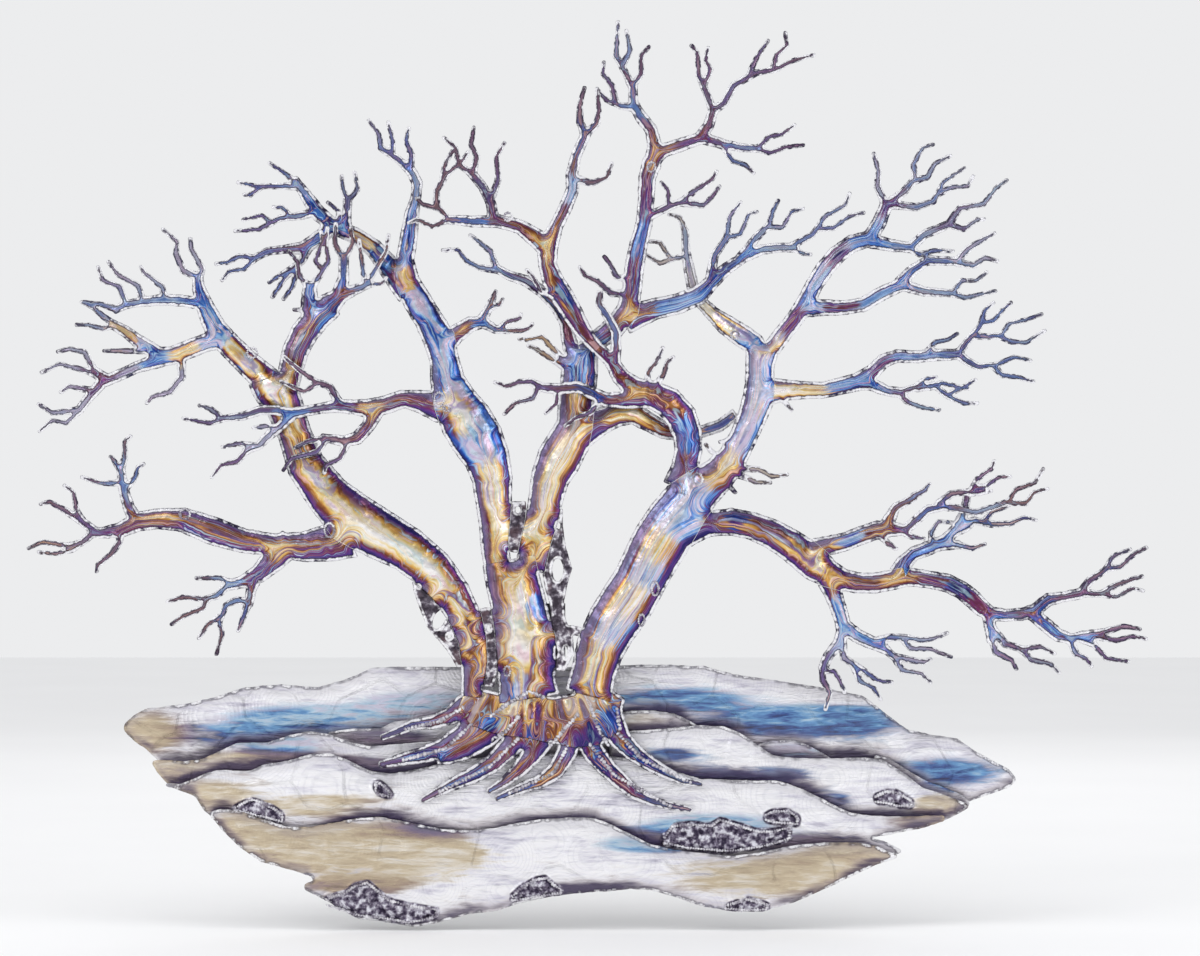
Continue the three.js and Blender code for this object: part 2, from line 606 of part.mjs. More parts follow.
grow('lower_right_blue_arm', finish.blue, {
  against: ['lower_right_bough'],
  lift: -passUnder,
  limbs: [
    [
      [364, 64, 17, 0], [372, 76, 16, -4], [383, 86, 14, -10], [400, 92, 14], [416, 100, 12], [427, 112, 11],
      [434, 128, 9], [437, 146, 7],
    ],
    [[395, 92, 12], [414, 95, 11], [430, 95, 8]],
  ],
  twigs: [
    [7, [426, 95], [442, 91], [456, 96]],
    [7, [402, 92], [401, 107], [408, 118], [425, 117]],
    [9, [424, 113], [444, 119], [464, 115], [480, 116], [494, 122], [507, 119]],
    [7, [452, 117], [462, 128], [480, 134]],
    [6, [424, 106], [436, 110], [443, 115]],
  ],
})

grow('lower_right_end', finish.violet, {
  against: ['lower_right_bough', 'lower_right_blue_arm'],
  limbs: [
    [
      [362, 60, 19], [380, 63, 18], [400, 60, 17], [416, 57, 18], [430, 50, 18], [441, 41, 18], [450, 32, 17],
      [460, 26, 14], [474, 25, 12], [490, 26, 12], [503, 30, 13], [517, 41, 13], [530, 43, 10], [550, 47, 11],
    ],
    [[498, 28, 13], [514, 15, 14], [526, 5, 13], [540, 1, 11], [553, 6, 8]],
    [[456, 30, 14], [458, 14, 11], [460, -2, 9]],
  ],
  twigs: [
    [9, [548, 47], [558, 60], [573, 70], [581, 84], [599, 91]],
    [6, [574, 71], [588, 73], [602, 86], [615, 93]],
    [8, [549, 47], [568, 46], [586, 56], [604, 62], [611, 64]],
    [6, [570, 46], [584, 43], [600, 52], [612, 49]],
    [8, [550, 5], [574, 9], [592, 14], [609, 11]],
    [7, [550, 5], [566, 3], [584, 0], [600, 4], [615, 1]],
    [8, [546, 3], [562, -4], [574, -18], [597, -21]],
    [8, [537, 2], [544, -14], [554, -18], [560, -27]],
    [8, [460, 2], [464, -12], [480, -20], [485, -30]],
    [9, [460, 12], [474, -4], [492, -9], [508, -6], [524, -14]],
    [7, [488, -8], [500, -20], [518, -23], [528, -33]],
  ],
})

grow('lower_right_drop', finish.lilac, {
  against: ['lower_right_bough'],
  limbs: [
    [[288, 72, 20], [300, 52, 19], [306, 36, 16], [311, 20, 15], [313, 7, 14]],
    [[309, 18, 14], [325, 5, 14], [340, -2, 13], [354, -8, 11]],
    [[312, 10, 13], [308, -2, 11], [297, -16, 10], [291, -30, 9]],
  ],
  twigs: [
    [8, [346, 0], [360, 3], [374, 3], [390, 0], [404, 2], [417, 8]],
    [7, [370, 3], [379, -8], [400, -9], [421, -17]],
    [9, [350, -5], [362, -16], [382, -20], [393, -22], [400, -18]],
    [7, [362, -15], [371, -30], [390, -33], [400, -43]],
    [7, [291, -26], [292, -40], [299, -52], [296, -62], [294, -70]],
    [6, [292, -30], [303, -31], [310, -42], [314, -53]],
    [9, [311, 0], [313, -18], [332, -30], [346, -40], [362, -42]],
    [7, [322, -24], [329, -41], [343, -48], [350, -60]],
  ],
})

// ---------------------------------------------------------------- roots

grow('root_crown', finish.violet, {
  against: ['left_stem', 'centre_trunk', 'right_stem'],
  rise: slightRise,
  limbs: [[
    [-68, -60, 20], [-50, -67, 38], [-26, -74, 40], [0, -77, 40], [24, -79, 46], [45, -80, 54],
    [65, -76, 56], [82, -70, 46], [92, -72, 28],
  ]],
})

const roots = {
  outer_left_root: [[
    [-60, -60, 22], [-78, -75, 18], [-98, -82, 13], [-116, -84, 10], [-130, -90, 8], [-148, -97, 5],
  ]],
  left_root: [
    [[-50, -74, 24], [-66, -94, 22], [-86, -107, 19], [-106, -114, 16], [-126, -118, 12], [-150, -124, 6]],
    [[-28, -80, 24], [-44, -98, 20], [-62, -111, 14], [-80, -119, 9], [-92, -121, 5]],
  ],
  long_left_root: [
    [
      [-5, -88, 24], [-20, -106, 22], [-36, -122, 18], [-54, -133, 16], [-74, -142, 13], [-92, -151, 9],
      [-108, -160, 5],
    ],
    [[14, -98, 22], [2, -114, 20], [-11, -129, 15], [-25, -141, 10], [-42, -151, 5]],
  ],
  middle_root: [[
    [42, -92, 22], [37, -112, 20], [26, -130, 17], [10, -141, 13], [-8, -147, 11], [-34, -158, 5],
  ]],
  lower_right_root: [[
    [56, -95, 24], [64, -112, 22], [78, -128, 18], [92, -141, 16], [106, -153, 12], [122, -160, 9],
    [142, -165, 7], [162, -169, 4],
  ]],
  outer_right_root: [[
    [80, -78, 28], [90, -98, 22], [104, -112, 18], [120, -123, 14], [138, -133, 11], [154, -140, 8],
    [172, -143, 4],
  ]],
}

Object.entries(roots).forEach(([name, limbs], i) => {
  const previous = Object.keys(roots).slice(Math.max(0, i - 1), i)
  grow(name, finish.violet, { limbs, against: ['left_stem', 'root_crown', ...previous], rise: rootRise })
})

// ---------------------------------------------------------------- weld lace

// A hole through a lace piece: an upright ellipse [x, z, half width, half height, lean].
function laceHole([x, z, halfWidth, halfHeight, lean = 0]) {
  const drill = new THREE.CylinderGeometry(1, 1, beyond, 12)
  drill.scale(halfWidth, 1, halfHeight)
  drill.rotateY(lean)
  drill.translate(x * stretch.x, -beyond / 2, z * stretch.z)
  return toSolid(drill)
}

function lace(name, { strips, holes, against }) {
  const depth = treeDepth - sheet
  const web = join(strips.map((strip) => formedStrip(withLift(strip, 0), depth, 2, slightRise)))
  const room = against.flatMap((other) => limbsOf[other].map(clearanceOf))
  const open = [...holes.map(laceHole), ...room].reduce((whole, cut) => whole.subtract(cut), web)
  addNode(name, finish.weld, toGeometry(open))
}

lace('left_lace', {
  against: ['left_stem'],
  strips: [[
    [-116, 64, 4], [-109, 49, 12], [-99, 34, 21], [-90, 20, 27], [-82, 6, 21], [-75, -8, 14], [-69, -26, 6],
  ]],
  holes: [[-90, 21, 6, 11, 0.45], [-92, 39, 3.4, 3], [-110, 55, 2, 3], [-80, 4, 2.6, 2.6]],
})

lace('trunk_lace', {
  against: ['centre_trunk', 'centre_stem', 'right_stem'],
  strips: [
    [
      [31, 132, 4], [29, 112, 8], [27, 92, 18], [27, 72, 30], [26, 54, 22], [27, 38, 14], [29, 20, 13],
      [34, 4, 18], [36, -12, 16], [30, -30, 9],
    ],
    [[30, 8, 12], [42, 10, 9], [54, 8, 9]],
  ],
  holes: [[28, 70, 6, 12], [29, 114, 2, 4], [36, -12, 1.8, 7]],
})

lace('fork_web', {
  against: ['centre_trunk', 'centre_left_stem', 'centre_stem'],
  strips: [[[-12, 138, 16], [-12, 122, 16], [-15, 104, 14], [-17, 88, 12]]],
  holes: [[-12, 130, 3, 4]],
})

lace('left_web', {
  against: ['left_stem', 'centre_trunk', 'root_crown'],
  strips: [[[-44, 32, 14], [-41, 12, 18], [-38, -8, 16], [-39, -28, 14], [-41, -46, 10]]],
  holes: [[-41, 12, 2, 4]],
})

// ---------------------------------------------------------------- ground

// A hill plate is a box bent through columns of [x, top, bottom]. section gives the
// depths of its front and back face from the column's height and the place up it.
function bendPlate(columns, section) {
  const steps = columns.length - 1
  const box = new THREE.BoxGeometry(1, 1, 1, steps, 1, 3)
  const vertex = box.attributes.position
  for (let i = 0; i < vertex.count; i++) {
    const [x, top, bottom] = columns[Math.round((vertex.getX(i) + 0.5) * steps)]
    const up = vertex.getZ(i) * 2
    const [front, back] = section(up, top - bottom)
    const z = ((top + bottom) + up * (top - bottom)) / 2
    vertex.setXYZ(i, x * stretch.x, -(vertex.getY(i) < 0 ? front : back), z * stretch.z)
  }
  return toSolid(box)
}

const hillFront = (depth) => (up, height) => depth + Math.min(hillRise, height / 6) * (1 - up * up)

function hillPlate(columns, depth) {
  const surface = hillFront(depth)
  return bendPlate(columns, (up, height) => [surface(up, height), surface(up, height) - sheet])
}

// The room in front of a hill plate's back face, which a post behind it stops short of.
function roomInFrontOf(columns, depth) {
  const surface = hillFront(depth)
  return bendPlate(columns, (up, height) => [beyond, surface(up, height) - sheet - gap])
}

// Each hill is one or two plates of columns, and its layer counts forward from the wall.
const hills = {
  back_ridge_plate: { layer: 0, plates: [[
    [-407, -86, -92], [-398, -77, -102], [-384, -70, -111], [-372, -69, -124], [-343, -65, -138],
    [-313, -58, -140], [-287, -49, -140], [-251, -46, -138], [-213, -49, -136], [-185, -41, -135],
    [-157, -29, -134], [-120, -28, -134], [-68, -28, -132], [0, -30, -130], [87, -27, -130],
    [130, -26, -130], [176, -28, -130], [205, -36, -132], [240, -41, -134], [280, -47, -136],
    [312, -53, -140], [335, -58, -146], [355, -74, -152], [378, -91, -158], [405, -97, -164],
    [428, -100, -168], [445, -112, -161], [465, -123, -154], [480, -131, -149], [487, -139, -143],
  ]] },
  left_slim_ridge: { layer: 1, plates: [[
    [-202, -93, -97], [-178, -90, -108], [-150, -90, -114], [-140, -84, -114], [-111, -78, -110],
    [-73, -72, -108], [-40, -74, -108],
  ]] },
  right_rear_knoll: { layer: 1, plates: [[
    [84, -74, -104], [105, -72, -106], [125, -72, -106], [145, -75, -104], [158, -81, -100], [168, -87, -94],
  ]] },
  right_small_mound: { layer: 1, plates: [[
    [228, -106, -116], [240, -102, -126], [262, -101, -128], [280, -107, -128], [292, -114, -128],
    [302, -120, -126],
  ]] },
  right_slim_ridge: { layer: 1, plates: [[
    [345, -116, -138], [362, -121, -148], [380, -133, -156], [398, -143, -162], [416, -149, -166],
    [432, -156, -168], [440, -163, -167],
  ]] },
  left_rear_strip: { layer: 2, plates: [[
    [-377, -121, -125], [-370, -121, -135], [-360, -121, -146], [-346, -122, -152], [-328, -120, -152],
    [-310, -112, -152], [-292, -103, -148], [-262, -103, -142], [-240, -96, -140], [-220, -92, -138],
    [-200, -95, -138], [-180, -103, -142], [-160, -107, -148], [-135, -105, -148], [-100, -102, -146],
    [-66, -104, -142],
  ]] },
  right_middle_plate: {
    layer: 2,
    plates: [[
      [80, -93, -140], [112, -91, -144], [140, -89, -150], [168, -86, -156], [194, -87, -158],
      [211, -94, -160], [228, -106, -160], [243, -116, -162], [270, -119, -168], [303, -119, -180],
      [333, -118, -188], [354, -121, -188], [374, -134, -187], [392, -148, -186], [410, -154, -182],
      [424, -159, -176], [438, -165, -168],
    ]],
  },
  main_root_plate: {
    layer: 3,
    plates: [
      [
        [-363, -143, -146], [-349, -144, -149], [-333, -138, -156], [-325, -134, -169], [-312, -130, -180],
        [-280, -131, -192], [-264, -124, -198], [-241, -121, -204], [-222, -115, -206], [-200, -113, -206],
        [-180, -121, -206], [-160, -131, -206], [-137, -134, -208], [-110, -129, -212], [-75, -120, -216],
        [-30, -116, -218], [20, -114, -216], [70, -115, -214], [110, -120, -220], [140, -130, -228],
        [170, -139, -232], [210, -140, -232], [249, -141, -230], [272, -149, -222], [292, -159, -212],
        [318, -172, -204], [335, -175, -197], [352, -176, -195], [372, -176, -191], [392, -176, -187],
        [414, -175, -180],
      ],
      [[300, -190, -212], [322, -194, -215], [345, -199, -216], [356, -202, -216], [371, -210, -212]],
    ],
  },
  front_plate: {
    layer: 4,
    plates: [
      [
        [-318, -171, -174], [-306, -168, -188], [-290, -170, -204], [-267, -178, -220], [-241, -186, -227],
        [-218, -186, -234], [-195, -182, -263], [-170, -177, -277], [-149, -176, -279], [-114, -183, -285],
        [-88, -188, -280], [-60, -190, -272], [-33, -187, -269], [-12, -182, -262], [13, -178, -256],
        [40, -177, -252], [64, -177, -250], [82, -184, -249], [100, -193, -247], [120, -203, -248],
        [145, -209, -255], [171, -212, -264], [200, -215, -269], [232, -211, -269], [264, -204, -260],
        [298, -201, -245], [325, -201, -232], [345, -205, -223], [358, -211, -219], [366, -214, -216],
      ],
      [[-224, -243, -248], [-215, -239, -252], [-203, -237, -258], [-190, -237, -263], [-178, -239, -268]],
    ],
  },
}

for (const [name, { layer, plates }] of Object.entries(hills)) {
  const sheets = plates.map((columns) => hillPlate(columns, hillLayer(layer)))
  addNode(name, name === 'front_plate' ? finish.tan : finish.ground, toGeometry(join(sheets)))
}

// ---------------------------------------------------------------- frame behind the sheets

// A box from its ends in X and Z and its two depths off the wall.
function block([left, right], [low, high], [near, far]) {
  const box = new THREE.BoxGeometry(right - left, far - near, high - low)
  box.translate((left + right) / 2, -(near + far) / 2, (low + high) / 2)
  return toSolid(box)
}

// An upright slot with round ends, as a cutter through a plate that lies on the wall.
function slotCutter(x, z) {
  const outline = new THREE.Shape()
  const radius = slot.wide / 2
  const straight = slot.high / 2 - radius
  outline.moveTo(radius, -straight)
  outline.lineTo(radius, straight)
  outline.absarc(0, straight, radius, 0, Math.PI)
  outline.lineTo(-radius, -straight)
  outline.absarc(0, -straight, radius, Math.PI, 2 * Math.PI)
  const settings = { depth: 4 * bracket.thick, bevelEnabled: false, curveSegments: 6 }
  const cutter = new THREE.ExtrudeGeometry(outline, settings)
  cutter.rotateX(Math.PI / 2)
  cutter.translate(x, 2 * bracket.thick, z)
  return toSolid(cutter)
}

function roundPost(x, z, near, far, diameter) {
  const rod = new THREE.CylinderGeometry(diameter / 2, diameter / 2, far - near, 16)
  rod.translate(x, -(near + far) / 2, z)
  return toSolid(rod)
}

const slotAt = bracket.wide / 2 - slot.inset
const halfBracket = { wide: bracket.wide / 2, high: bracket.high / 2 }
const backPlate = block(
  [-halfBracket.wide, halfBracket.wide],
  [-halfBracket.high, halfBracket.high],
  [0, bracket.thick],
)
const slottedBracket = backPlate.subtract(slotCutter(-slotAt, 0)).subtract(slotCutter(slotAt, 0))
addNode('wall_bracket', finish.frame, toGeometry(slottedBracket))

const barHalf = bar.wide / 2
const reach = ({ left, right }) => [left * stretch.x, right * stretch.x]
const band = (z) => [z * stretch.z - barHalf, z * stretch.z + barHalf]

addNode('spine_bar', finish.frame, toGeometry(
  block([-barHalf, barHalf], [spine.bottom * stretch.z, spine.top * stretch.z], [spineNear, spineFar]),
))
addNode('ridge_bar', finish.frame, toGeometry(block(reach(ridgeBar), band(ridgeBar.z), [barNear, barFar])))
addNode('front_bar', finish.frame, toGeometry(block(reach(frontBar), band(frontBar.z), [barNear, barFar])))

// The room in front of a stem's hollow back.
function stemRoom(name) {
  return bendStrip(withLift(limbsOf[name][0], 0), 4, (side, width) => [
    beyond,
    treeDepth + crown * width * (1 - side * side) - sheet - gap,
  ])
}

// Round posts run from a bar to the sheet in front of it, where room is what they stop at.
function addPost(name, [x, z], near, room) {
  const rod = roundPost(x * stretch.x, z * stretch.z, near + gap, beyond, post.diameter)
  addNode(name, finish.frame, toGeometry(rod.subtract(room)))
}

const backRidge = roomInFrontOf(hills.back_ridge_plate.plates[0], hillLayer(0))
const rootPlate = roomInFrontOf(hills.main_root_plate.plates[0], hillLayer(3))
const frontHill = roomInFrontOf(hills.front_plate.plates[0], hillLayer(4))
addPost('ridge_post_left', [-230, ridgeBar.z], barFar, backRidge)
addPost('ridge_post_right', [250, ridgeBar.z], barFar, backRidge)
addPost('root_post', [0, -165], spineFar, rootPlate)
addPost('front_post_left', [-150, frontBar.z], barFar, frontHill)
addPost('front_post_right', [298, frontBar.z], barFar, frontHill)
addPost('trunk_post', [-4, 45], spineFar, stemRoom('centre_trunk'))

// Bumpers keep the outer ends of the bars off the wall.
const bumperRoom = bumper.diameter / 2 + bumper.inset
const bumperAt = { bumper_left: ridgeBar.left + bumperRoom, bumper_right: ridgeBar.right - bumperRoom }
for (const [name, x] of Object.entries(bumperAt)) {
  const rubber = roundPost(x * stretch.x, ridgeBar.z * stretch.z, 0, barNear - gap, bumper.diameter)
  addNode(name, finish.rubber, toGeometry(rubber))
}

// A hanger is a bent tab: a slotted plate on the wall and a leg out to a stem's hollow back.
function addHanger(name, [x, z], stem) {
  const ends = [x * stretch.x - hanger.wide / 2, x * stretch.x + hanger.wide / 2]
  const foot = z * stretch.z - hanger.high / 2
  const plate = block(ends, [foot, foot + hanger.high], [0, hanger.thick])
  const leg = block(ends, [foot, foot + hanger.thick], [0, beyond])
  const slotted = plate.add(leg).subtract(slotCutter(x * stretch.x, z * stretch.z + hanger.thick / 2))
  addNode(name, finish.frame, toGeometry(slotted.subtract(stemRoom(stem))))
}

addHanger('left_hanger', [-150, 106], 'left_stem')
addHanger('right_hanger', [120, 81], 'right_stem')

export default sculpture
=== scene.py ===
# Wall sculpture of a gnarled tree on layered hills, in torch-cut, welded, heat-coloured
# steel. The solid model is the frame: each of its flat-sided sheets becomes a hammered one
# with a welded rim, and the steel is coloured as a torch colours it, with painted highlights
# and painted shade on top.
import json

import bpy
import numpy as np
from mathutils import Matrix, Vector


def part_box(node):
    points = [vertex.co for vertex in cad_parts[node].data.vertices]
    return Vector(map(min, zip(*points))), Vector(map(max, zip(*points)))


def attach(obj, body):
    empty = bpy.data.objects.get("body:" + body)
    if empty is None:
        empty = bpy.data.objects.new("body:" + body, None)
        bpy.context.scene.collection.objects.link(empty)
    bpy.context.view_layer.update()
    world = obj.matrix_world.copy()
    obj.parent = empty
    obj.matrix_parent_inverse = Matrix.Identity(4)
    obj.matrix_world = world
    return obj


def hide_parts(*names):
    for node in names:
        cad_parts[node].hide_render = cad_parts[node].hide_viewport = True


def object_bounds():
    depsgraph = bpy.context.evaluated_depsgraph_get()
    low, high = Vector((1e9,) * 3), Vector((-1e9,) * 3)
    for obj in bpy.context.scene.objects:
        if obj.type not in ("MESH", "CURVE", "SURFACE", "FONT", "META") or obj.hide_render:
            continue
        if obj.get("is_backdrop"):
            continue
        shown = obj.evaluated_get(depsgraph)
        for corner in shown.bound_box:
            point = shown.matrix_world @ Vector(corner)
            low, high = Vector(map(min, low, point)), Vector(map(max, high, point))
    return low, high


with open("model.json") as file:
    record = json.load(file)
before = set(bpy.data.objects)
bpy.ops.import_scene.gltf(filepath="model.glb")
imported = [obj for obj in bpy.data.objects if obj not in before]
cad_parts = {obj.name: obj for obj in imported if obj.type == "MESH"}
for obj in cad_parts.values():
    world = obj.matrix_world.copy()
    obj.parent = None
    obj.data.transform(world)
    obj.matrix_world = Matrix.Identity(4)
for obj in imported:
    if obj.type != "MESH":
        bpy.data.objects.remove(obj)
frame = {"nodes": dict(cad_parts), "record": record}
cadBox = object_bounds()
mm = 0.001


# Shader maths: a wire is a socket that takes part in sums

class Wire:
    def __init__(self, tree, socket):
        self.tree = tree
        self.socket = socket

    def sum(self, operation, *values):
        node = self.tree.nodes.new("ShaderNodeMath")
        node.operation = operation
        for slot, value in zip(node.inputs, values):
            if isinstance(value, Wire):
                self.tree.links.new(value.socket, slot)
            else:
                slot.default_value = value
        return Wire(self.tree, node.outputs[0])

    def __add__(self, other):
        return self.sum("ADD", self, other)

    def __radd__(self, other):
        return self.sum("ADD", other, self)

    def __sub__(self, other):
        return self.sum("SUBTRACT", self, other)

    def __rsub__(self, other):
        return self.sum("SUBTRACT", other, self)

    def __mul__(self, other):
        return self.sum("MULTIPLY", self, other)

    def __rmul__(self, other):
        return self.sum("MULTIPLY", other, self)

    def sine(self):
        return self.sum("SINE", self)


class Shading:
    def __init__(self, tree):
        self.tree = tree
        tree.nodes.clear()

    # settings are set first, then sockets, named or numbered as s6
    def node(self, kind, settings=None, output=0, **sockets):
        node = self.tree.nodes.new("ShaderNode" + kind)
        for key, value in (settings or {}).items():
            if key == "stops":
                elements = node.color_ramp.elements
                for place, _ in value[2:]:
                    elements.new(place)
                for element, (place, colour) in zip(elements, value):
                    element.position = place
                    element.color = (*colour, 1)
            else:
                setattr(node, key, value)
        for key, value in sockets.items():
            slot = node.inputs[int(key[1:])] if key[1:].isdigit() else node.inputs[key.replace("_", " ")]
            if isinstance(value, Wire):
                self.tree.links.new(value.socket, slot)
            else:
                slot.default_value = value
        return Wire(self.tree, node.outputs[output]) if node.outputs else None

    def place(self):
        return self.node("TexCoord", output="Object")

    def mark(self, name):
        return self.node("Attribute", {"attribute_name": name}, output="Fac")

    def noise(self, where, scale, detail=2.0, roughness=0.5, distortion=0.0):
        return self.node(
            "TexNoise", output=0, Vector=where, Scale=scale, Detail=detail, Roughness=roughness,
            Distortion=distortion,
        )

    def scaled(self, where, scale, turn=0.0):
        return self.node("Mapping", Vector=where, Scale=scale, Rotation=(0, turn, 0))

    def between(self, value, low, high):
        return self.node(
            "MapRange", {"interpolation_type": "SMOOTHSTEP"}, Value=value, From_Min=low, From_Max=high,
        )

    def mixed(self, share, first, second):
        return self.node(
            "Mix", {"data_type": "RGBA"}, output=2, s0=share,
            s6=first if isinstance(first, Wire) else (*first, 1),
            s7=second if isinstance(second, Wire) else (*second, 1),
        )

    def ramp(self, share, stops):
        return self.node("ValToRGB", {"stops": stops}, s0=share)

    def bump(self, height, distance, **under):
        return self.node("Bump", Height=height, Distance=distance, **under)


class Finish(Shading):
    def __init__(self, name):
        self.material = bpy.data.materials.new(name)
        self.material.use_nodes = True
        super().__init__(self.material.node_tree)

    def close(self, **sockets):
        self.node("OutputMaterial", Surface=self.node("BsdfPrincipled", **sockets))
        return self.material


# Finishes

# The colours that steel runs through as it is heated, from bright metal to grey
temperColours = [
    (0.00, (0.93, 0.90, 0.88)),
    (0.10, (0.92, 0.80, 0.58)),
    (0.20, (0.82, 0.60, 0.22)),
    (0.29, (0.68, 0.36, 0.09)),
    (0.37, (0.32, 0.12, 0.04)),
    (0.45, (0.15, 0.045, 0.035)),
    (0.54, (0.17, 0.035, 0.13)),
    (0.62, (0.11, 0.045, 0.24)),
    (0.69, (0.018, 0.022, 0.12)),
    (0.77, (0.025, 0.08, 0.40)),
    (0.85, (0.10, 0.27, 0.66)),
    (0.92, (0.40, 0.54, 0.74)),
    (1.00, (0.62, 0.54, 0.70)),
]


def temperedSteel(name):
    f = Finish(name)
    place = f.place()
    share = f.mark("share")       # 0 at the rim, 1 in the middle of a limb
    warmHeat = f.mark("warm")     # place in the temper colours where it is straw to brown
    coolHeat = f.mark("cool")     # and where it is blue to grey
    cooled = f.mark("cooled")     # how much of the second shows
    lean = f.mark("lean")         # 1 on the lit side of a limb, 0 on the other
    rim = f.mark("rim")           # 1 on the crest of the weld
    broad = f.mark("broad")       # 0 on a twig, 1 on a stem
    upright = f.mark("upright")   # 1 where the streaks stand upright, across the piece

    clouds = f.noise(place, 28.0, 3.0)
    grain = f.noise(place, 160.0, 3.0, 0.6)
    across = (1.0 - share) * (lean - 0.5) * (0.05 + 0.06 * broad)
    along = f.node("CombineXYZ", X=across + f.mark("fan") * upright * 0.9, Y=share * 0.008, Z=0.0)
    slow = f.scaled(place, (0.085, 0.085, 0.085))
    flowing = f.node("VectorMath", {"operation": "ADD"}, s0=slow, s1=along)
    streaks = f.noise(flowing, 150.0, 2.5, 0.55, 0.25)
    threads = f.noise(flowing, 380.0, 2.0, 0.5, 0.2)

    inner = f.between(share + (clouds - 0.5) * 0.24 + (streaks - 0.5) * 0.70, 0.08, 0.66)
    wander = (streaks - 0.5) * 1.25 + (threads - 0.5) * 0.30 + (clouds - 0.5) * 0.20
    spread = wander * inner * (0.60 + 0.40 * broad)
    # towards the rim the colour runs to the deep navy of the temper colours: partly the heat colour of the
    # cut edge, partly painted shade on the flanks of the rounded limb
    edge = 0.68 * (1.0 - inner)
    warmColour = f.ramp(edge + warmHeat * inner + spread, temperColours)
    coolColour = f.ramp(edge + coolHeat * inner + spread * 0.8, temperColours)
    swap = f.between(cooled + (threads - 0.5) * 1.6 + (streaks - 0.5) * 1.8, 0.30, 0.70)
    colour = f.mixed(swap, warmColour, coolColour)

    # thin bands where the oxide thickens and thins again
    pale = f.between(threads, 0.54, 0.66) * inner
    colour = f.mixed(pale * 0.50, colour, (0.56, 0.80, 0.86))
    rosy = f.between(1.0 - threads, 0.55, 0.67) * inner
    colour = f.mixed(rosy * 0.55, colour, (0.88, 0.54, 0.62))
    dusk = f.between(f.noise(flowing, 210.0, 2.0, 0.5, 0.3), 0.55, 0.70) * inner
    colour = f.mixed(dusk * 0.62, colour, (0.20, 0.14, 0.46))
    # painted highlight: warm white painted down the middle of broad limbs, on the side towards the light
    paintedSheen = f.between(share * lean + (streaks - 0.5) * 0.9, 0.55, 0.85) * broad
    colour = f.mixed(paintedSheen * 0.40, colour, (0.98, 0.92, 0.84))
    # painted light on the flank that faces the light: its outer part is painted grey-lilac
    litFlankLilac = f.between(lean, 0.60, 0.90) * f.between(1.0 - share + (streaks - 0.5) * 0.8, 0.40, 0.72)
    colour = f.mixed(litFlankLilac * 0.72, colour, (0.27, 0.23, 0.35))
    slim = f.between(1.0 - broad, 0.72, 1.0)
    colour = f.mixed(slim * 0.50, colour, (0.21, 0.18, 0.26))

    # darker on the flanks of the weld, then the bright crest with darker pits: bright weld metal with a
    # painted highlight on it
    weldFlank = f.between(rim, 0.02, 0.35)
    colour = f.mixed(weldFlank * 0.85, colour, (0.035, 0.028, 0.05))
    pits = f.noise(place, 430.0, 2.0, 0.6)
    # painted highlight along the weld crest, over bright weld metal
    bright = f.between(rim + (pits - 0.5) * 0.7, 0.36, 0.76)
    colour = f.mixed(bright, colour, (0.93, 0.92, 0.95))

    hammered = f.noise(place, 75.0, 2.0)
    brushed = f.noise(flowing, 900.0, 2.0, 0.6)
    normal = f.bump(hammered, 2.2 * mm)
    normal = f.bump(brushed, 0.25 * mm, Normal=normal)
    normal = f.bump(pits * rim, 1.2 * mm, Normal=normal)
    return f.close(
        Base_Color=colour, Metallic=0.93 - 0.15 * bright, Roughness=0.30 + (grain - 0.5) * 0.22 + 0.08 * weldFlank,
        Normal=normal,
    )


# The same on the hills, where the brush has dulled them
groundColours = [
    (0.00, (0.93, 0.90, 0.89)),
    (0.10, (0.80, 0.73, 0.62)),
    (0.20, (0.60, 0.49, 0.32)),
    (0.32, (0.42, 0.31, 0.20)),
    (0.45, (0.26, 0.17, 0.17)),
    (0.58, (0.10, 0.05, 0.15)),
    (0.68, (0.02, 0.02, 0.08)),
    (0.76, (0.02, 0.08, 0.30)),
    (0.84, (0.10, 0.30, 0.58)),
    (0.92, (0.42, 0.60, 0.74)),
    (1.00, (0.62, 0.60, 0.74)),
]


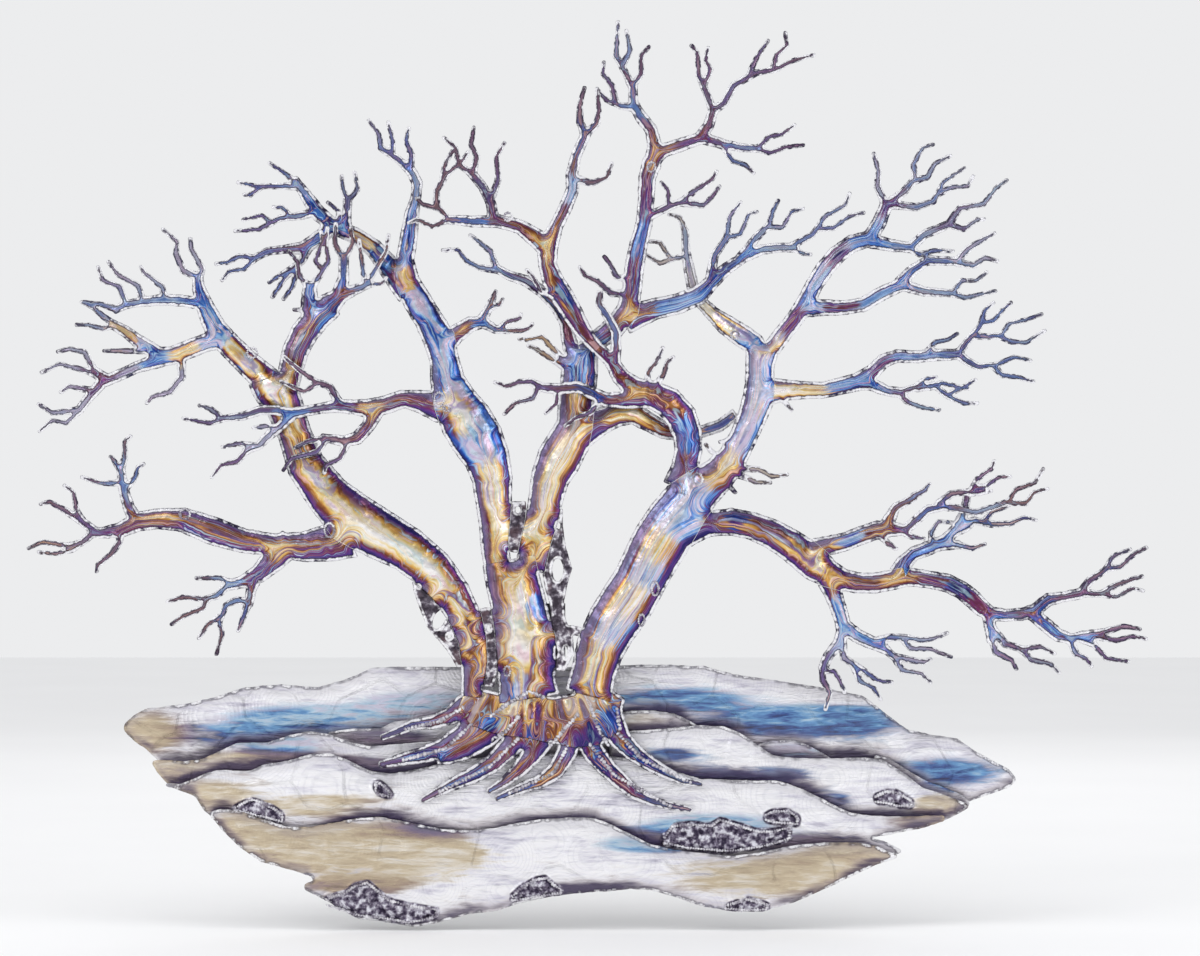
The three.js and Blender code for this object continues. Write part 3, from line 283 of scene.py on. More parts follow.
def brushedHill(name):
    f = Finish(name)
    place = f.place()
    below = f.mark("below")       # 1 at the lowest of a plate that shows, 0 well above it
    above = f.mark("above")       # 1 at its upper edge
    heat = f.mark("temper")
    tint = f.mark("tint")         # how much temper colour shows
    rim = f.mark("rim")

    clouds = f.noise(f.scaled(place, (1.0, 1.0, 2.2)), 11.0, 3.0)
    strokes = f.noise(f.scaled(place, (1.0, 1.0, 6.5), -0.20), 26.0, 3.5, 0.62, 0.35)
    grain = f.noise(place, 240.0, 2.0, 0.6)

    # arcs left by a grinding disc, each patch about its own centre
    patches = f.node(
        "TexVoronoi", {"feature": "SMOOTH_F1"}, output=2, Vector=place, Scale=21.0, Smoothness=0.12,
    )
    apart = f.node("VectorMath", {"operation": "SUBTRACT"}, s0=place, s1=patches)
    reach = f.node("VectorMath", {"operation": "LENGTH"}, output=1, s0=apart)
    arcs = (reach * 1900.0 + (grain - 0.5) * 3.0).sine()

    silver = f.ramp(strokes * 0.75 + clouds * 0.45, [
        (0.38, (0.42, 0.40, 0.50)),
        (0.48, (0.76, 0.74, 0.82)),
        (0.58, (0.96, 0.95, 0.98)),
        (0.72, (1.00, 0.99, 1.00)),
    ])
    colour = f.mixed(f.between(arcs, 0.2, 1.0) * 0.10, silver, (0.30, 0.30, 0.42))
    temper = f.ramp(heat + (strokes - 0.5) * 0.55, groundColours)
    shown = f.between(tint + (strokes - 0.5) * 1.0 + (clouds - 0.5) * 0.6, 0.16, 0.62)
    colour = f.mixed(shown * 0.92, colour, temper)
    # painted shade just above the edge of the plate in front: deep purple close to it, a softer brown further
    # up
    paintedShade = f.between(below + (clouds - 0.5) * 1.9 + (strokes - 0.5) * 0.7, 0.52, 1.02)
    brown = f.between(below + (clouds - 0.5) * 1.5 + (strokes - 0.5) * 1.2, 0.28, 0.75)
    colour = f.mixed(brown * 0.48, colour, (0.38, 0.30, 0.32))
    colour = f.mixed(paintedShade * 0.90, colour, (0.04, 0.025, 0.085))
    # painted shade along a plate's upper edge
    crest = f.between(above + (strokes - 0.5) * 0.6, 0.35, 0.85)
    colour = f.mixed(crest * 0.30, colour, (0.36, 0.33, 0.40))

    rock = f.mark("rock")
    lumps = f.noise(place, 170.0, 2.5, 0.55)
    stone = f.ramp(lumps, [
        (0.40, (0.03, 0.02, 0.05)),
        (0.52, (0.20, 0.17, 0.24)),
        (0.66, (0.80, 0.79, 0.86)),
    ])
    colour = f.mixed(f.between(rock, 0.12, 0.34), colour, stone)

    pits = f.noise(place, 430.0, 2.0, 0.6)
    # darker on the flanks of the weld
    weldFlank = f.between(rim, 0.02, 0.4)
    colour = f.mixed(weldFlank * 0.7, colour, (0.05, 0.04, 0.07))
    # bright weld metal with a painted highlight along the crest
    bright = f.between(rim + (pits - 0.5) * 0.7, 0.34, 0.74)
    colour = f.mixed(bright, colour, (0.94, 0.93, 0.95))

    normal = f.bump(strokes, 3.0 * mm)
    normal = f.bump(arcs, 0.05 * mm, Normal=normal)
    normal = f.bump(pits * rim, 1.0 * mm, Normal=normal)
    normal = f.bump(lumps * rock, 4.0 * mm, Normal=normal)
    return f.close(
        Base_Color=colour, Metallic=0.55, Roughness=0.36 + (strokes - 0.5) * 0.3, Normal=normal,
    )


def weldLace(name):
    f = Finish(name)
    place = f.place()
    rim = f.mark("rim")
    lumps = f.noise(place, 150.0, 2.0, 0.55)
    stain = f.noise(place, 60.0, 2.0)
    colour = f.ramp(lumps, [
        (0.36, (0.04, 0.03, 0.045)),
        (0.50, (0.12, 0.10, 0.13)),
        (0.58, (0.36, 0.33, 0.38)),
        (0.68, (0.92, 0.91, 0.94)),
    ])
    colour = f.mixed(f.between(stain, 0.52, 0.7) * 0.5, colour, (0.16, 0.09, 0.10))
    # bright weld metal with a painted highlight on the crest of the lace's rim
    bright = f.between(rim + (lumps - 0.5) * 1.2, 0.4, 0.9)
    colour = f.mixed(bright, colour, (0.94, 0.93, 0.95))
    normal = f.bump(lumps, 4.0 * mm)
    return f.close(Base_Color=colour, Metallic=0.6, Roughness=0.34 + (1.0 - lumps) * 0.2, Normal=normal)


def weldBead(name):
    f = Finish(name)
    place = f.place()
    skin = f.noise(place, 120.0, 2.0, 0.55)
    colour = f.ramp(skin, [
        (0.36, (0.30, 0.27, 0.33)),
        (0.50, (0.66, 0.64, 0.69)),
        (0.64, (0.93, 0.92, 0.95)),
    ])
    normal = f.bump(skin, 0.8 * mm)
    return f.close(Base_Color=colour, Metallic=0.6, Roughness=0.28 + (1.0 - skin) * 0.2, Normal=normal)


def bareBack(name):
    f = Finish(name)
    place = f.place()
    scale = f.noise(place, 45.0, 4.0, 0.6)
    flecks = f.noise(place, 320.0, 2.0)
    colour = f.ramp(scale, [
        (0.30, (0.085, 0.085, 0.10)),
        (0.52, (0.19, 0.18, 0.20)),
        (0.72, (0.30, 0.27, 0.27)),
    ])
    colour = f.mixed(f.between(flecks, 0.60, 0.72) * 0.4, colour, (0.42, 0.30, 0.22))
    normal = f.bump(scale * 0.7 + flecks * 0.3, 1.2 * mm)
    return f.close(Base_Color=colour, Metallic=0.7, Roughness=0.42 + (scale - 0.5) * 0.3, Normal=normal)


def blackPaint(name):
    f = Finish(name)
    place = f.place()
    peel = f.noise(place, 420.0, 2.0)
    wear = f.noise(place, 38.0, 5.0, 0.68)
    scuffs = f.noise(f.scaled(place, (1.0, 1.0, 0.12)), 260.0, 2.0)
    chipped = f.between(wear, 0.64, 0.69)
    colour = f.mixed(f.between(scuffs, 0.55, 0.75) * 0.5, (0.022, 0.022, 0.024), (0.07, 0.07, 0.075))
    colour = f.mixed(chipped, colour, (0.30, 0.27, 0.25))
    normal = f.bump(peel, 0.15 * mm)
    normal = f.bump(1.0 - chipped, 0.2 * mm, Normal=normal)
    return f.close(
        Base_Color=colour, Metallic=0.85 * chipped, Roughness=0.38 + (wear - 0.5) * 0.3, Normal=normal,
    )


def blackRubber(name):
    f = Finish(name)
    place = f.place()
    dust = f.noise(place, 90.0, 4.0, 0.6)
    pores = f.noise(place, 700.0, 2.0)
    colour = f.mixed(f.between(dust, 0.5, 0.75) * 0.5, (0.016, 0.016, 0.017), (0.08, 0.078, 0.072))
    return f.close(
        Base_Color=colour, Roughness=0.78 + (dust - 0.5) * 0.25, Normal=f.bump(pores, 0.2 * mm),
    )


finish = {
    "tree": temperedSteel("temperedSteel"),
    "hill": brushedHill("brushedHill"),
    "lace": weldLace("weldLace"),
    "bead": weldBead("weldBead"),
    "back": bareBack("bareSteelBack"),
    "paint": blackPaint("blackPaint"),
    "rubber": blackRubber("blackRubber"),
}
print("finishes made")


# Sums on grids of cells, indexed [column, row]

# Smooth bumps from 0 to 1, each about size millimetres across
def bumps(x, z, size, seed):
    side = 128
    table = np.random.default_rng(seed).random((side, side))
    u, v = x / size, z / size
    i, j = np.floor(u).astype(int), np.floor(v).astype(int)
    s, t = u - i, v - j
    s, t = s * s * (3 - 2 * s), t * t * (3 - 2 * t)
    corner = lambda a, b: table[(i + a) % side, (j + b) % side]
    low = corner(0, 0) * (1 - s) + corner(1, 0) * s
    high = corner(0, 1) * (1 - s) + corner(1, 1) * s
    return low * (1 - t) + high * t


def shifted(grid, by, axis, fill):
    moved = np.full_like(grid, fill)
    to, come = [slice(None)] * 2, [slice(None)] * 2
    to[axis] = slice(max(by, 0), grid.shape[axis] + min(by, 0))
    come[axis] = slice(max(-by, 0), grid.shape[axis] + min(-by, 0))
    moved[tuple(to)] = grid[tuple(come)]
    return moved


def blurred(grid, radius):
    reach = int(np.ceil(radius * 2.5))
    weights = np.exp(-0.5 * (np.arange(-reach, reach + 1) / radius) ** 2)
    weights /= weights.sum()
    for axis in (0, 1):
        grid = sum(w * shifted(grid, k - reach, axis, 0.0) for k, w in enumerate(weights))
    return grid


# A blur of values that only the cells in mask take part in
def blurredWithin(values, mask, radius):
    weight = blurred(mask.astype(float), radius)
    return blurred(np.where(mask, values, 0.0), radius) / np.maximum(weight, 1e-6), weight


def highest(grid, reach):
    for axis in (0, 1):
        best = grid.copy()
        for by in range(-reach, reach + 1):
            np.maximum(best, shifted(grid, by, axis, 0.0), out=best)
        grid = best
    return grid


# Cells from each cell to the nearest one outside, up to reach
def depthInside(mask, reach):
    far = float(reach)
    upright = np.where(mask, far, 0.0)
    for by in range(1, reach):
        for side in (-by, by):
            np.minimum(upright, np.where(shifted(mask, side, 1, False), far, by), out=upright)
    square = upright ** 2
    for by in range(1, reach):
        for side in (-by, by):
            np.minimum(square, shifted(upright, side, 0, 0.0) ** 2 + by * by, out=square)
    return np.sqrt(square) * mask


# From solids to grids

trianglesOf = {}
for name, node in frame["nodes"].items():
    mesh = node.data
    mesh.calc_loop_triangles()
    points = np.empty(len(mesh.vertices) * 3)
    mesh.vertices.foreach_get("co", points)
    corners = np.empty(len(mesh.loop_triangles) * 3, int)
    mesh.loop_triangles.foreach_get("vertices", corners)
    trianglesOf[name] = points.reshape(-1, 3)[corners].reshape(-1, 3, 3) / mm


class Cells:
    # A grid over a node's box with a margin all round, in millimetres
    def __init__(self, name, step, margin):
        low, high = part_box(name)
        self.step = step
        self.left = low.x / mm - margin
        self.low = low.z / mm - margin
        self.wide = int((high.x - low.x) / mm / step + 2 * margin / step) + 2
        self.tall = int((high.z - low.z) / mm / step + 2 * margin / step) + 2
        columns, rows = np.meshgrid(np.arange(self.wide), np.arange(self.tall), indexing="ij")
        self.x = self.left + (columns + 0.5) * step
        self.z = self.low + (rows + 0.5) * step

    # Covered share, front depth and back depth of each cell, from a grid twice as fine
    def fill(self, names):
        fine = self.step / 2
        shape = (self.wide * 2, self.tall * 2)
        front, back = np.full(shape, np.inf), np.full(shape, -np.inf)
        for triangle in np.concatenate([trianglesOf[name] for name in names]):
            flat = (triangle[:, [0, 2]] - (self.left, self.low)) / fine - 0.5
            first = np.maximum(np.ceil(flat.min(0)).astype(int), 0)
            last = np.minimum(np.floor(flat.max(0)).astype(int), np.array(shape) - 1)
            a, b, c = flat
            area = (b[0] - a[0]) * (c[1] - a[1]) - (c[0] - a[0]) * (b[1] - a[1])
            if (last < first).any() or abs(area) < 1e-7:
                continue
            u = np.arange(first[0], last[0] + 1)[:, None]
            v = np.arange(first[1], last[1] + 1)[None, :]
            atB = ((u - a[0]) * (c[1] - a[1]) - (v - a[1]) * (c[0] - a[0])) / area
            atC = ((b[0] - a[0]) * (v - a[1]) - (b[1] - a[1]) * (u - a[0])) / area
            within = (atB > -1e-6) & (atC > -1e-6) & (atB + atC < 1 + 1e-6)
            depth = triangle[0, 1] * (1 - atB - atC) + triangle[1, 1] * atB + triangle[2, 1] * atC
            window = (slice(first[0], last[0] + 1), slice(first[1], last[1] + 1))
            front[window] = np.minimum(front[window], np.where(within, depth, np.inf))
            back[window] = np.maximum(back[window], np.where(within, depth, -np.inf))
        hit = np.isfinite(front)
        fours = lambda grid: grid.reshape(self.wide, 2, self.tall, 2).sum(axis=(1, 3))
        count = fours(hit.astype(float))
        mean = lambda grid: fours(np.where(hit, grid, 0.0)) / np.maximum(count, 1)
        return count / 4, mean(front), mean(back)


# Closes the hairline between a node and the ones that it's welded to
def closed(cover):
    grown = cover
    for axis in (0, 1):
        grown = np.maximum(grown, np.minimum(shifted(cover, 1, axis, 0.0), shifted(cover, -1, axis, 0.0)))
    return grown


# From grids to meshes

# One closed sheet over the cells where field passes a half. Its vertices lie between
# four cells, and those on the outline lie where field is a half.
def sheetMesh(name, cells, field, front, back, swell, marks, finishes):
    inside = field > 0.5
    inside[[0, -1], :] = False
    inside[:, [0, -1]] = False
    corners = [(0, 0), (1, 0), (1, 1), (0, 1)]
    take = lambda grid, i, j: grid[i:cells.wide - 1 + i, j:cells.tall - 1 + j]
    full = [take(inside, i, j) for i, j in corners]
    used = np.logical_or.reduce(full)
    mixed = used & ~np.logical_and.reduce(full)
    sumX, sumZ, count = (np.zeros(used.shape) for _ in range(3))
    for (i, j), (k, l) in zip(corners, corners[1:] + corners[:1]):
        a, b = take(field, i, j), take(field, k, l)
        crossed = take(inside, i, j) != take(inside, k, l)
        along = np.where(crossed, (0.5 - a) / np.where(crossed, b - a, 1.0), 0.0)
        sumX += crossed * (take(cells.x, i, j) + along * (k - i) * cells.step)
        sumZ += crossed * (take(cells.z, i, j) + along * (l - j) * cells.step)
        count += crossed
    average = lambda grid: sum(take(grid, i, j) for i, j in corners) / 4
    x = np.where(mixed, sumX / np.maximum(count, 1), average(cells.x))
    z = np.where(mixed, sumZ / np.maximum(count, 1), average(cells.z))

    # the weld swells the outline outwards by an uneven amount
    slopeX, slopeZ = np.gradient(blurred(field, 1.0))
    outX, outZ = -average(slopeX), -average(slopeZ)
    length = np.maximum(np.hypot(outX, outZ), 1e-6)
    out = np.where(mixed, average(swell), 0.0)
    x = x + outX / length * out
    z = z + outZ / length * out

    number = np.full(used.shape, -1)
    total = int(used.sum())
    number[used] = np.arange(total)
    frontPoints = np.stack([x[used], average(front)[used], z[used]], 1)
    backPoints = np.stack([x[used], average(back)[used], z[used]], 1)
    i, j = np.nonzero(inside)
    ring = [number[i - 1, j - 1], number[i, j - 1], number[i, j], number[i - 1, j]]
    frontFaces = np.stack(ring, 1)
    backFaces = np.stack(ring[::-1], 1) + total
    walls = []
    for side, (di, dj) in enumerate([(0, -1), (1, 0), (0, 1), (-1, 0)]):
        edge = ~inside[i + di, j + dj]
        start, end = ring[side][edge], ring[(side + 1) % 4][edge]
        walls.append(np.stack([end, start, start + total, end + total], 1))
    walls = np.concatenate(walls)
    faces = np.concatenate([frontFaces, walls, backFaces])

    mesh = bpy.data.meshes.new(name)
    points = np.concatenate([frontPoints, backPoints]) * mm
    mesh.vertices.add(len(points))
    mesh.vertices.foreach_set("co", points.ravel())
    mesh.loops.add(faces.size)
    mesh.loops.foreach_set("vertex_index", faces.ravel())
    mesh.polygons.add(len(faces))
    mesh.polygons.foreach_set("loop_start", np.arange(len(faces)) * 4)
    isBack = np.arange(len(faces)) >= len(faces) - len(backFaces)
    mesh.polygons.foreach_set("material_index", isBack.astype(int))
    for material in finishes:
        mesh.materials.append(material)
    mesh.update(calc_edges=True)
    mesh.shade_smooth()
    for key, grid in marks.items():
        value = average(grid)[used]
        mark = mesh.attributes.new(key, "FLOAT", "POINT")
        mark.data.foreach_set("value", np.concatenate([value, value]))
    piece = bpy.data.objects.new(name, mesh)
    bpy.context.scene.collection.objects.link(piece)
    return piece


# A place on a node's outline box, in millimetres, from its shares across and up
def spotOn(name, across, up):
    low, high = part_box(name)
    return (low.x + (high.x - low.x) * across) / mm, (low.z + (high.z - low.z) * up) / mm


# Rounded height of a weld that runs along the outline, from depth inside it
def weldCrest(depth, reach):
    return np.sqrt(np.maximum(0, 1 - ((depth - reach) / reach) ** 2))


# 1 on the open outline, 0 inside
def openEdge(field):
    return np.clip((0.92 - field) / 0.3, 0, 1)


blur = {"outline": 0.9, "fine": 1.6, "soft": 5.0, "mark": 1.5}  # radii in cells
surfaces = {}
slotOf = {part["node"]: part["material_slot"] for part in frame["record"]["subparts"]}


# A sheet takes the place of its node
def setSheet(kind, name, cells, field, surface, behind, swell, marks):
    prefix = "brushed_" if kind == "hill" else "hammered_"
    finishes = [finish[kind], finish["back"]]
    piece = sheetMesh(prefix + name, cells, field, surface, behind, swell, marks, finishes)
    surfaces[name] = (cells, surface)
    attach(piece, "root")
    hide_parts(name)


heatParting = 0.66       # between the browns and the blues
heatPull = {"least": 0.02, "own": 0.25, "spot": 2}
heatIdle = {"warm": 0.3, "cool": 0.9}  # where nothing pulls


# Marks for the heat over a node, from its own heat and spots of [right share, up share, heat,
# reach]. Straw to brown and blue to grey are kept apart, so that they meet in streaks.
def heatOver(name, cells, base, spots):
    weight = {kind: np.full(cells.x.shape, heatPull["least"]) for kind in heatIdle}
    heat = {kind: weight[kind] * heatIdle[kind] for kind in heatIdle}

    def add(amount, value):
        kind = "cool" if value > heatParting else "warm"
        weight[kind] = weight[kind] + amount
        heat[kind] = heat[kind] + amount * value

    add(heatPull["own"], base)
    for across, up, value, reach in spots:
        x, z = spotOn(name, across, up)
        near = np.exp(-((cells.x - x) ** 2 + (cells.z - z) ** 2) / reach ** 2)
        add(heatPull["spot"] * near, value)
    marks = {kind: heat[kind] / weight[kind] for kind in heat}
    marks["cooled"] = weight["cool"] / (weight["warm"] + weight["cool"])
    return marks


# The tree

# Each limb's heat, from 0 for bright metal to 1 for grey, and its spots of
# (right share, up share, heat, reach in millimetres) where the torch stayed
limbHeat = {
    "centre_trunk": (0.20, [
        (0.55, 0.84, 0.16, 14), (0.32, 0.83, 0.30, 9), (0.81, 0.29, 0.40, 8), (0.28, 0.06, 0.92, 12),
        (0.50, 0.45, 0.18, 14), (0.70, 0.66, 0.92, 9), (0.35, 0.56, 0.14, 10), (0.60, -0.04, 0.46, 12),
    ]),
    "left_stem": (0.16, [
        (0.94, 0.06, 0.38, 12), (0.93, 0.20, 0.33, 14), (0.84, 0.31, 0.20, 14), (0.71, 0.42, 0.12, 14),
        (0.55, 0.49, 0.05, 16), (0.34, 0.60, 0.20, 16), (0.22, 0.73, 0.30, 12), (0.17, 0.86, 0.12, 12),
        (0.10, 0.97, 0.00, 16),
    ]),
    "right_stem": (0.16, [
        (0.08, -0.02, 0.46, 14), (0.12, 0.08, 0.20, 16), (0.22, 0.22, 0.94, 17), (0.25, 0.27, 0.12, 20),
        (0.36, 0.38, 0.93, 18), (0.39, 0.42, 0.20, 18), (0.50, 0.53, 0.95, 20), (0.59, 0.60, 0.93, 14),
        (0.66, 0.64, 0.18, 14),
        (0.80, 0.77, 1.00, 18), (0.87, 0.91, 0.97, 18),
    ]),
    "centre_left_stem": (0.98, [
        (0.90, 0.04, 0.22, 34), (0.88, 0.18, 0.10, 26), (0.79, 0.29, 0.95, 22), (0.66, 0.33, 0.16, 18),
        (0.53, 0.48, 0.94, 20), (0.43, 0.55, 0.86, 14), (0.28, 0.64, 0.25, 9), (0.30, 0.73, 0.80, 18),
        (0.34, 0.82, 0.92, 14), (0.22, 0.92, 0.74, 16),
    ]),
    "centre_stem": (0.20, [
        (0.23, 0.11, 0.34, 10), (0.31, 0.22, 0.20, 16), (0.41, 0.39, 0.10, 16), (0.60, 0.50, 0.06, 14),
        (0.72, 0.67, 0.30, 14), (0.75, 0.82, 0.78, 12), (0.78, 0.92, 0.82, 10),
    ]),
    "far_left_upper_bough": (0.98, [
        (0.91, 0.27, 0.04, 14), (0.81, 0.40, 0.20, 9), (0.73, 0.52, 0.96, 14), (0.67, 0.69, 0.78, 14),
        (0.60, 0.40, 0.20, 11), (0.47, 0.37, 0.80, 9), (0.45, 0.63, 0.90, 18), (0.36, 0.49, 0.22, 12),
        (0.25, 0.24, 0.55, 16), (0.12, 0.09, 0.90, 16),
    ]),
    "far_left_lower_bough": (0.43, [
        (0.96, 0.53, 0.30, 14), (0.85, 0.51, 0.40, 12), (0.76, 0.50, 0.20, 12), (0.71, 0.37, 0.60, 12),
        (0.61, 0.31, 0.82, 12), (0.52, 0.59, 0.50, 12), (0.40, 0.61, 0.30, 12), (0.29, 0.80, 0.82, 14),
        (0.21, 0.56, 0.56, 14), (0.63, 0.16, 0.76, 12),
    ]),
    "dark_left_bough": (0.47, [
        (0.09, 0.06, 0.20, 12), (0.20, 0.29, 0.50, 12), (0.45, 0.46, 0.72, 12), (0.30, 0.58, 0.86, 10),
        (0.57, 0.71, 0.80, 12), (0.81, 0.66, 0.90, 12),
    ]),
    "rear_left_bough": (0.74, [
        (1.00, 0.14, 0.45, 14), (0.78, 0.46, 0.30, 10), (0.61, 0.55, 0.80, 14), (0.41, 0.38, 0.52, 14),
        (0.45, 0.80, 0.92, 14), (0.24, 0.52, 0.62, 14),
    ]),
    "front_left_spray": (0.57, [
        (1.02, 0.58, 0.36, 12), (0.87, 0.63, 0.52, 12), (0.73, 0.57, 0.20, 10), (0.61, 0.59, 0.60, 12),
        (0.43, 0.53, 0.80, 12), (0.31, 0.32, 0.92, 12), (0.65, 0.34, 0.45, 12), (0.22, 0.50, 0.64, 14),
    ]),
    "inner_left_bough": (0.44, [
        (0.03, 0.17, 0.30, 10), (0.46, 0.38, 0.80, 12),
    ]),
    "centre_rear_bough": (0.78, [
        (0.92, 0.13, 0.50, 12), (0.64, 0.60, 0.64, 14), (0.35, 0.83, 0.90, 14),
    ]),
    "tall_centre_bough": (0.62, [
        (0.05, 0.02, 0.78, 12), (0.21, 0.12, 0.28, 13), (0.23, 0.22, 0.60, 12), (0.26, 0.34, 0.82, 14),
        (0.29, 0.47, 0.55, 12), (0.34, 0.60, 0.30, 14), (0.25, 0.76, 0.82, 14), (0.54, 0.68, 0.50, 14),
        (0.69, 0.62, 0.86, 14), (0.19, 0.92, 0.92, 14), (0.52, 0.86, 0.60, 14), (0.91, 0.88, 0.55, 16),
    ]),
    "right_rear_bough": (0.80, [
        (0.04, 0.14, 0.45, 14), (0.22, 0.22, 0.92, 14), (0.39, 0.42, 0.74, 14), (0.61, 0.60, 0.90, 14),
    ]),
    "silver_rear_bough": (0.02, [
        (0.86, 0.06, 0.98, 12), (0.53, 0.31, 0.06, 14), (0.34, 0.74, 0.90, 12),
    ]),
    "bridge_limb": (0.26, [
        (-0.00, 0.42, 0.52, 9), (0.30, 0.74, 0.18, 12), (0.61, 0.33, 0.50, 12), (0.87, 0.50, 0.76, 12),
    ]),
    "dark_crossing_bough": (0.50, [
        (0.90, 0.05, 0.46, 12), (0.93, 0.25, 0.72, 12), (0.83, 0.43, 0.42, 12), (0.68, 0.49, 0.28, 11),
        (0.58, 0.58, 0.54, 12), (0.46, 0.47, 0.74, 12), (0.22, 0.49, 0.56, 14), (0.56, 0.82, 0.82, 14),
    ]),
    "crown_bough": (0.50, [
        (0.68, 0.40, 0.20, 12), (0.76, 0.23, 0.72, 12), (0.71, 0.29, 0.44, 10), (0.80, 0.61, 0.92, 10),
        (0.84, 0.81, 0.77, 14), (0.49, 0.49, 0.52, 12), (0.30, 0.49, 0.80, 14), (0.39, 0.61, 0.60, 12),
    ]),
    "upper_right_bough": (0.95, [
        (0.01, 0.03, 0.08, 12), (0.11, 0.17, 0.56, 11), (0.20, 0.34, 0.98, 14), (0.30, 0.48, 0.56, 11),
        (0.43, 0.55, 0.80, 14), (0.31, 0.23, 0.62, 12), (0.48, 0.30, 0.92, 14), (0.65, 0.45, 0.80, 14),
        (0.50, 0.73, 0.56, 14), (0.69, 0.74, 0.86, 14), (0.78, 0.63, 0.60, 14),
    ]),
    "right_bough": (0.80, [
        (-0.00, 0.21, 0.00, 16), (0.12, 0.21, 0.13, 16), (0.28, 0.26, 0.82, 12), (0.39, 0.42, 0.56, 10),
        (0.55, 0.51, 0.88, 14), (0.70, 0.55, 0.74, 14), (0.49, 0.17, 0.52, 12), (0.84, 0.84, 0.90, 16),
    ]),
    "lower_right_bough": (0.41, [
        (-0.04, 0.67, 0.35, 12), (0.09, 0.80, 0.46, 12), (0.21, 0.91, 0.70, 10), (0.35, 0.72, 0.38, 12),
        (0.49, 0.51, 0.26, 12), (0.59, 0.39, 0.14, 12), (0.66, 0.22, 0.20, 12), (0.80, 0.12, 0.46, 12),
        (0.94, 0.20, 0.20, 11),
    ]),
    "lower_right_upper_arm": (0.40, [
        (0.07, 0.11, 0.24, 11), (0.15, 0.18, 0.82, 11), (0.29, 0.26, 0.30, 11), (0.40, 0.24, 0.55, 11),
        (0.51, 0.49, 0.70, 12), (0.72, 0.47, 0.92, 14), (0.72, 0.74, 0.62, 14),
    ]),
    "lower_right_blue_arm": (0.78, [
        (0.25, 0.32, 0.77, 12), (0.48, 0.58, 0.92, 12), (0.52, 0.92, 0.60, 12),
    ]),
    "lower_right_end": (0.58, [
        (0.01, 0.76, 0.22, 10), (0.12, 0.73, 0.50, 11), (0.23, 0.65, 0.72, 11), (0.32, 0.54, 0.54, 11),
        (0.41, 0.46, 0.80, 11), (0.57, 0.56, 0.78, 12), (0.59, 0.37, 0.90, 11), (0.73, 0.63, 0.60, 12),
        (0.72, 0.27, 0.86, 12), (0.36, 0.30, 0.92, 12), (0.87, 0.90, 0.74, 14),
    ]),
    "lower_right_drop": (0.95, [
        (0.10, 0.99, 0.30, 10), (0.17, 0.77, 0.92, 12), (0.33, 0.58, 0.86, 13), (0.49, 0.51, 0.78, 12),
        (0.07, 0.33, 0.60, 12), (0.71, 0.47, 0.92, 14), (0.41, 0.25, 0.76, 14),
    ]),
    "root_crown": (0.40, [
        (0.10, 0.74, 0.30, 14), (0.30, 0.88, 0.20, 16), (0.45, 0.86, 0.22, 16), (0.56, 0.30, 0.46, 12),
        (0.80, 0.92, 0.18, 18), (0.82, 0.26, 0.70, 12), (0.94, 0.50, 0.72, 12), (0.62, 0.20, 0.40, 12),
        (0.45, 0.12, 0.70, 12), (0.20, 0.30, 0.70, 12), (0.32, 0.30, 0.40, 10),
    ]),
    "outer_left_root": (0.70, [(0.82, 0.49, 0.46, 14)]),
    "left_root": (0.56, [
        (0.80, 0.80, 0.38, 12), (0.41, 0.30, 0.72, 14), (0.73, 0.34, 0.44, 12),
    ]),
    "long_left_root": (0.50, [
        (0.74, 0.85, 0.36, 12), (0.37, 0.36, 0.71, 14), (0.77, 0.50, 0.42, 12),
    ]),
    "middle_root": (0.40, [
        (0.87, 0.92, 0.62, 9), (0.66, 0.46, 0.28, 12), (0.25, 0.2, 0.70, 12),
    ]),
    "lower_right_root": (0.70, [
        (0.10, 0.90, 0.44, 12), (0.15, 0.84, 0.78, 9), (0.45, 0.34, 0.50, 12),
    ]),
    "outer_right_root": (0.72, [
        (0.10, 0.80, 0.46, 12), (0.45, 0.29, 0.80, 12),
    ]),
}

# The pieces that each one is welded onto, where no rim runs
weldedTo = {
    "centre_left_stem": ["centre_trunk"],
    "centre_stem": ["centre_trunk", "centre_left_stem"],
    "far_left_upper_bough": ["left_stem"],
    "far_left_lower_bough": ["left_stem"],
    "dark_left_bough": ["left_stem", "far_left_upper_bough"],
    "rear_left_bough": ["centre_left_stem"],
    "front_left_spray": ["centre_left_stem"],
    "inner_left_bough": ["centre_left_stem"],
    "centre_rear_bough": ["centre_stem"],
    "tall_centre_bough": ["centre_stem", "centre_rear_bough"],
    "right_rear_bough": ["tall_centre_bough"],
    "silver_rear_bough": ["right_stem"],
    "bridge_limb": ["centre_stem"],
    "dark_crossing_bough": ["right_stem"],
    "crown_bough": ["dark_crossing_bough"],
    "upper_right_bough": ["right_stem", "silver_rear_bough"],
    "right_bough": ["right_stem"],
    "lower_right_bough": ["right_stem"],
    "lower_right_upper_arm": ["lower_right_bough"],
    "lower_right_blue_arm": ["lower_right_bough"],
    "lower_right_end": ["lower_right_bough", "lower_right_blue_arm"],
    "lower_right_drop": ["lower_right_bough"],
    "root_crown": ["left_stem", "centre_trunk", "right_stem"],
    "outer_left_root": ["root_crown"],
    "left_root": ["root_crown", "outer_left_root"],
    "long_left_root": ["root_crown", "left_root"],
    "middle_root": ["root_crown", "long_left_root"],
    "lower_right_root": ["root_crown", "middle_root"],
    "outer_right_root": ["root_crown", "lower_right_root"],
    "left_lace": ["left_stem"],
    "trunk_lace": ["centre_trunk", "centre_stem", "right_stem"],
    "fork_web": ["centre_trunk", "centre_left_stem", "centre_stem"],
    "left_web": ["left_stem", "centre_trunk", "root_crown"],
}
laceNames = ["left_lace", "trunk_lace", "fork_web", "left_web"]

